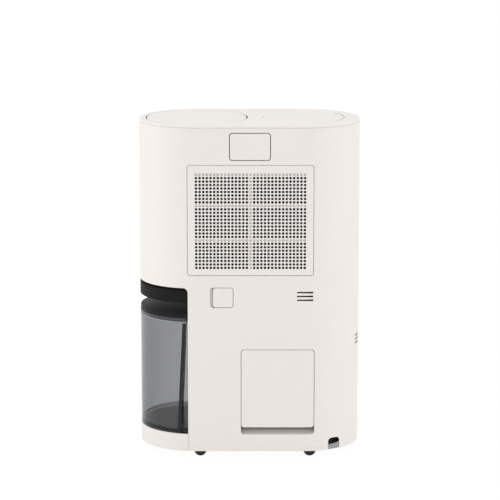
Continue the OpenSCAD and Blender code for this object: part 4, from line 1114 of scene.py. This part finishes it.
@dataclass
class WaterTank:
    """The smoke-clear tank, its lid, its float and the dark bay around them."""

    # walls of the tank; its outline lies skin inside the case's
    skin: float = 0.3 * MM
    wall: float = 2.2 * MM
    floor: float = 2.5 * MM
    foot_radius: float = 1.2 * MM
    foot_raise: float = 4.0 * MM
    foot_round: float = 0.8 * MM
    floor_slope: float = 0.025
    corner_radius: float = 4.0 * MM
    # thicker rim, and the step in plan from the flush end to the narrower inner part
    rim_height: float = 6.5 * MM
    rim_extra: float = 1.6 * MM
    rib: float = 5.8 * MM
    step: float = 7.2 * MM
    step_top: float = -105.6 * MM
    step_bottom: float = -115.5 * MM
    # bevels and the number of flats in the rounded parts
    edge: float = 0.4 * MM
    lip: float = 0.3 * MM
    bends: int = 6
    inner_steps: int = 8
    arc_steps: int = 56
    float_gap: float = 0.3 * MM
    # strip of painted shade in the step, grip and seal under the lid with their painted sheen and
    # highlight, and painted shade in the bay's groove
    step_shade_cover: float = 0.5 * MM
    step_shade_margin: float = 0.9 * MM
    step_shade_thick: float = 1.5 * MM
    grip_height: float = 5.6 * MM
    grip_inset: float = 0.1 * MM
    seal_height: float = 2.2 * MM
    seal_inset: float = -0.15 * MM
    seal_wide: float = 1.5 * MM
    groove_drop: float = 7.2 * MM
    groove_height: float = 3.6 * MM
    groove_insets: Point = (0.5 * MM, 3.0 * MM)
    groove_turn: Point = (98.0, 262.0)

    def build(self) -> None:
        """Makes the tank and its bay."""
        self._tank()
        Moulding("tank_lid", LID_ABS, round_mm=0.5).build()
        Moulding("bay_liner", DARK_ABS, round_mm=0.4).build()
        Moulding("tank_switch", BOX_ABS, round_mm=0.3).build()
        dress(NATURAL_PP, ["float_post"])
        self._float()
        self._rim()
        self._step_shade()
        self._groove()

    def _rim(self) -> None:
        """Knurled grip round the lid's foot and the seal that it stands on; the grip is painted a
        lighter grey for the sheen its knurl catches, and the seal a light grey for the highlight
        along the tank's rim.
        """
        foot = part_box("tank_lid")[0].z
        inner = self._outline(foot, self.seal_wide)
        grip = hoop(self._outline(foot, self.grip_inset), inner, foot + self.grip_inset,
                    foot + self.grip_height)
        # painted sheen: the grip's lighter grey stands for light caught by the knurl
        show("tank_lid_grip", grip, GRIP_SHEEN_ABS, "tank_lid", replaces=False)
        drawn_line = hoop(self._outline(foot, self.seal_inset), inner, foot - self.seal_height,
                    foot - self.grip_inset)
        # painted highlight: the seal's light grey stands for the light line along the tank's rim
        show("tank_seal", drawn_line, HIGHLIGHT_SILICONE, "tank", replaces=False)

    def _step_shade(self) -> None:
        """Dark strip in the step of the rear wall: painted shade for the dark line that the step
        shows through the clear wall.
        """
        low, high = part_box("tank")
        outer, rings = END_R - self.skin - self.step_shade_cover, []
        for z in (low.z + self.foot_raise + self.floor, high.z - self.rim_height):
            share = (z - low.z) / (high.z - low.z)
            step_x = self.step_bottom + (self.step_top - self.step_bottom) * share
            left, right = step_x - self.rib + self.step_shade_margin, step_x - self.step_shade_margin
            front = [-math.sqrt(outer ** 2 - (x + END_X) ** 2) for x in (left, right)]
            back = [y + self.step_shade_thick for y in front]
            rings.append([Vector((left, front[0], z)), Vector((right, front[1], z)),
                          Vector((right, back[1], z)), Vector((left, back[0], z))])
        # painted shade: an opaque dark strip for the dark line of the step
        show("tank_gauge_strip", loft(rings), DARK_ABS, "tank", replaces=False)

    def _groove(self) -> None:
        """Black strip of painted shade in the groove over the bay's band."""
        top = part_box("bay_liner")[1].z - self.groove_drop
        outer, inner = (END_R - inset for inset in self.groove_insets)
        strip = arc_band(-END_X, (outer, inner), (top - self.groove_height, top),
                         self.groove_turn, steps=72)
        # painted shade: a black strip that darkens the groove
        show("bay_groove_foam", strip, SHADE_BLACK, "bay_liner",
             replaces=False)

    def _float(self) -> None:
        """Foam float, cut to stand on the tank's raised floor."""
        shape = shape_of("tank_float")
        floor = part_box("tank")[0].z + self.foot_raise + self.floor + self.float_gap
        for vert in shape.verts:
            vert.co.z = max(vert.co.z, floor)
        show("tank_float_piece", shape, FLOAT_FOAM, "tank_float")

    def _outline(self, z: float, inset: float, rib: float = 0.0) -> list[Point]:
        """Plan outline of the tank at a height.

        Args:
            z: the height.
            inset: how far the outline is drawn in.
            rib: how much further the step is drawn in.

        Returns:
            Points of the flush end part, the step and the narrower inner part.
        """
        low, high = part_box("tank")
        share = (z - low.z) / (high.z - low.z)
        step_x = self.step_bottom + (self.step_top - self.step_bottom) * share - inset - rib
        outer = END_R - self.skin - inset
        inner = outer - self.step
        reach = -step_x - END_X
        half = [(high.x - inset, inner), (-END_X, inner)]
        turn = math.acos(reach / inner)
        for k in range(1, self.inner_steps + 1):
            angle = math.pi / 2 + (turn - math.pi / 2) * k / self.inner_steps
            half.append((-END_X - inner * math.cos(angle), inner * math.sin(angle)))
        turn = math.acos(reach / outer)
        for k in range(self.arc_steps + 1):
            angle = turn * (1 - k / self.arc_steps)
            half.append((-END_X - outer * math.cos(angle), outer * math.sin(angle)))
        return half + [(x, -y) for x, y in reversed(half[:-1])]

    def _tank(self) -> None:
        """Lofts the tank from under its raised floor over its foot and rim to its inside.

        The floor falls towards the rear so that the last water gathers there.
        """
        low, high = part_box("tank")
        extra, base, rings = self.rib - self.wall, low.z + self.foot_raise, []
        for z, inset in ((base, self.wall + self.foot_round), (base - self.foot_round, self.wall),
                         (low.z + self.edge, self.wall), (low.z, self.wall - self.edge)):
            rings.append(at(self._outline(z, inset, extra), z))
        for vert in rings[0] + rings[1]:
            vert.z += self.floor_slope * vert.y
        for k in range(self.bends + 1):
            turn = math.pi / 2 * k / self.bends
            z = low.z + self.foot_radius * (1 - math.cos(turn))
            rings.append(at(self._outline(z, self.foot_radius * (1 - math.sin(turn))), z))
        collar, rim, foot = self.wall + self.rim_extra, high.z - self.edge, high.z - self.rim_height
        for z, inset, rib in ((rim, 0.0, 0.0), (high.z, self.edge, 0.0),
                              (high.z, collar - self.edge, 0.0), (rim, collar, 0.0),
                              (foot, collar, 0.0), (foot - self.lip, self.wall, extra)):
            rings.append(at(self._outline(z, inset, rib), z))
        for k in range(self.bends, -1, -1):
            turn = math.pi / 2 * k / self.bends
            z = base + self.floor + self.corner_radius * (1 - math.cos(turn))
            drawn = self.wall + self.corner_radius * (1 - math.sin(turn))
            rings.append([vert + Vector((0.0, 0.0, self.floor_slope * vert.y))
                          for vert in at(self._outline(z, drawn, extra), z)])
        show("tank_piece", loft(rings), SMOKE_SAN, "tank")


@dataclass
class CoolingCircuit:
    """Coils, pipes, compressor and the tray under the coils."""

    fin: float = 0.25 * MM
    fin_pitch: float = 2.0 * MM
    passes: int = 8
    tube_radius: float = 3.5 * MM

    def build(self) -> None:
        """Makes the coils and dresses the rest of the circuit."""
        rows = BarRow()
        for node in ("evaporator", "condenser"):
            self._fins(rows, node)
        dress(ZINC_STEEL, ["coil_plates", "compressor_nuts"])
        dress(COPPER, ["evaporator_tubes", "condenser_tubes", "suction_pipe", "discharge_pipe",
                       "capillary_tube"])
        dress(BLACK_ENAMEL, ["compressor", "compressor_bracket"])
        dress(RUBBER, ["compressor_grommets"])
        Moulding("drip_tray", NATURAL_PP, round_mm=0.3).build()
        dress(CHASSIS_PP, ["mid_deck"])

    def _fins(self, rows: BarRow, node: str) -> None:
        """Thin fins with the tube passes that run through them.

        Args:
            rows: the pattern that sets the fins side by side.
            node: the coil's CAD node.
        """
        low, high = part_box(node)
        size, middle = high - low, (low + high) / 2
        count = int(size.x / self.fin_pitch)
        fins = rows.run(FIN_ALU, Count=count + 1, Step=((size.x - self.fin) / count, 0.0, 0.0),
                        First=(low.x + self.fin / 2, middle.y, middle.z),
                        Bar=(self.fin, size.y, size.z))
        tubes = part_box(node + "_tubes")
        first, last = tubes[0].z + self.tube_radius, tubes[1].z - self.tube_radius
        pipes = rows.run(FIN_ALU, Count=self.passes, First=(middle.x, middle.y, first),
                         Step=(0.0, 0.0, (last - first) / (self.passes - 1)),
                         Bar=(size.x, 2 * self.tube_radius, 2 * self.tube_radius))
        show(node + "_piece", joined(fins, pipes), FIN_ALU, node)


@dataclass
class AirMover:
    """Scroll, inlet ring, impeller and motor."""

    def build(self) -> None:
        """Dresses the fan."""
        dress(CHASSIS_PP, ["fan_scroll", "fan_inlet", "impeller"])
        dress(ZINC_STEEL, ["fan_shaft"])
        dress(GREY_ENAMEL, ["fan_motor"])


@dataclass
class Electrics:
    """Power box, capacitor and humidity sensor."""

    def build(self) -> None:
        """Dresses the electric parts."""
        Moulding("power_box", BOX_ABS, round_mm=0.5).build()
        dress(FIN_ALU, ["capacitor"])
        dress(BOARD, ["humidity_sensor"])


@dataclass
class Undercarriage:
    """Casters and the screws that hold the chassis."""

    head_radius: float = 3.6 * MM

    def build(self) -> None:
        """Makes the forks and wheels and sets the screws."""
        for corner in ("rl", "rr", "fl", "fr"):
            Moulding("caster_fork_" + corner, CASTER_PA, round_mm=0.2).build()
            Moulding("caster_wheel_" + corner, CASTER_PA, round_mm=0.15).build()
        self._screws()

    def _screws(self) -> None:
        """Pan-head screws that look down out of the base pan."""
        shape = shape_of("chassis_screws")
        low, _ = span(shape)
        spots, left = [], set(shape.verts)
        while left:
            island, queue = set(), [left.pop()]
            while queue:
                vert = queue.pop()
                island.add(vert)
                for edge in vert.link_edges:
                    other = edge.other_vert(vert)
                    if other in left:
                        left.remove(other)
                        queue.append(other)
            middle = sum((v.co for v in island), Vector()) / len(island)
            spots.append(Vector((middle.x, middle.y, low.z)))
        shape.free()
        spots.sort(key=lambda p: (round(p.x, 4), round(p.y, 4)))
        mesh = bpy.data.meshes.new("screw_places")
        mesh.from_pydata(spots, [], [])
        holder = placed("screw_places", mesh)
        screws = ScrewSet().run(ZINC_STEEL, Head_radius=self.head_radius, Places=holder)
        bpy.data.objects.remove(holder)
        show("chassis_screws_piece", closed(screws), ZINC_STEEL, "chassis_screws")


# ---------------------------------------------------------------- stage


@dataclass
class Studio:
    """Camera, floor and soft lamps."""

    # the camera looks along +Y from its distance, height and place aside
    lens_mm: float = 188.82
    distance: float = 4.350
    height: float = 1.2393
    pitch_deg: float = 11.687
    aside: float = 0.00093
    # half of the floor's side, and how bright and how white the surroundings are
    floor_half: float = 30.0
    ambient: float = 0.898
    floor_white: float = 0.93
    floor_glow: float = 1.04
    aim_height: float = 0.28
    # where each lamp stands, its width and height, and its power in watts
    lamps: dict[str, tuple[tuple[float, ...], Point, float]] = field(default_factory=lambda: {
        "lamp_left": ((-2.0, -0.1, 0.9), (0.9, 1.3), 5.8),
        "lamp_left_rear": ((-1.9, -0.95, 0.6), (0.9, 1.3), 3.3),
        "lamp_left_near": ((-1.5, -2.0, 0.8), (0.9, 1.3), 2.4),
        "lamp_right": ((2.0, -0.1, 0.9), (0.9, 1.3), 3.8),
        "lamp_right_rear": ((1.9, -0.95, 0.6), (0.9, 1.3), 3.3),
        "lamp_right_near": ((1.5, -2.0, 0.8), (0.9, 1.3), 2.2),
        "lamp_top": ((0.0, -0.4, 2.6), (1.6, 1.2), 3.0),
    })

    def build(self) -> None:
        """Builds the whole stage."""
        self._world()
        self._floor()
        self._camera()
        for name, (spot, size, power) in self.lamps.items():
            self._lamp(name, Vector(spot), size, power)

    def _seen(self, tree: bpy.types.NodeTree) -> bpy.types.NodeSocket:
        """Returns a socket that is one on camera, glossy and transmission rays."""
        path = add(tree, "ShaderNodeLightPath")
        seen = path.outputs["Is Camera Ray"]
        for kind in ("Is Transmission Ray", "Is Glossy Ray"):
            seen = add(tree, "ShaderNodeMath", {0: seen, 1: path.outputs[kind]},
                       operation="MAXIMUM").outputs["Value"]
        return seen

    def _world(self) -> None:
        """Pale surroundings; what the camera or a clear wall sees of them is white."""
        world = bpy.data.worlds.new("studio")
        tree = cleared(world)
        level = add(tree, "ShaderNodeMapRange", {"Value": self._seen(tree),
                                                 "To Min": self.ambient, "To Max": 1.0})
        sky = add(tree, "ShaderNodeBackground", {"Color": WHITE,
                                                 "Strength": level.outputs["Result"]})
        add(tree, "ShaderNodeOutputWorld", {"Surface": sky.outputs["Background"]})
        bpy.context.scene.world = world

    def _floor(self) -> None:
        """A plain pale floor that still takes the appliance's shadow."""
        made = bpy.data.materials.new("floor_paper_white")
        tree = cleared(made)
        lift = add(tree, "ShaderNodeMath", {0: self._seen(tree), 1: self.floor_white},
                   operation="MULTIPLY")
        paper = add(tree, "ShaderNodeBsdfDiffuse", {"Color": linear("#e6e6e6")})
        white = add(tree, "ShaderNodeEmission", {"Color": WHITE, "Strength": self.floor_glow})
        both = add(tree, "ShaderNodeMixShader", {0: lift.outputs["Value"],
                                                 1: paper.outputs["BSDF"],
                                                 2: white.outputs["Emission"]})
        add(tree, "ShaderNodeOutputMaterial", {"Surface": both.outputs["Shader"]})
        half = self.floor_half
        mesh = bpy.data.meshes.new("floor")
        mesh.from_pydata([(-half, -half, 0), (half, -half, 0), (half, half, 0), (-half, half, 0)],
                         [], [(0, 1, 2, 3)])
        mesh.materials.append(made)
        placed("floor", mesh)

    def _camera(self) -> None:
        """The camera stands behind the appliance and looks slightly down."""
        data = bpy.data.cameras.new("camera")
        data.lens = self.lens_mm
        data.sensor_width = 36.0
        data.clip_end = 100.0
        camera = placed("camera", data)
        camera.location = (self.aside, -self.distance, self.height)
        camera.rotation_euler = (math.radians(90 - self.pitch_deg), 0.0, 0.0)
        bpy.context.scene.camera = camera

    def _lamp(self, name: str, spot: Vector, size: Point, power: float) -> None:
        """Adds one soft box that faces the middle of the appliance.

        Args:
            name: the lamp's name.
            spot: where it stands.
            size: its width and height.
            power: its power in watts.
        """
        data = bpy.data.lights.new(name, "AREA")
        data.shape = "RECTANGLE"
        data.size, data.size_y = size
        data.energy = power
        lamp = placed(name, data)
        lamp.location = spot
        aim = Vector((0.0, 0.0, self.aim_height)) - spot
        lamp.rotation_euler = aim.to_track_quat("-Z", "Y").to_euler()


def main() -> None:
    """Builds every sub-assembly and the stage."""
    logging.basicConfig(level=logging.INFO, format="%(name)s: %(message)s")
    bpy.context.scene.view_settings.view_transform = "Standard"
    for part in (CaseShell(), TopDeck(), RearCovers(), AirInlet(), WaterTank(), CoolingCircuit(),
                 AirMover(), Electrics(), Undercarriage(), Studio()):
        part.build()


if __name__ == "__main__":
    main()
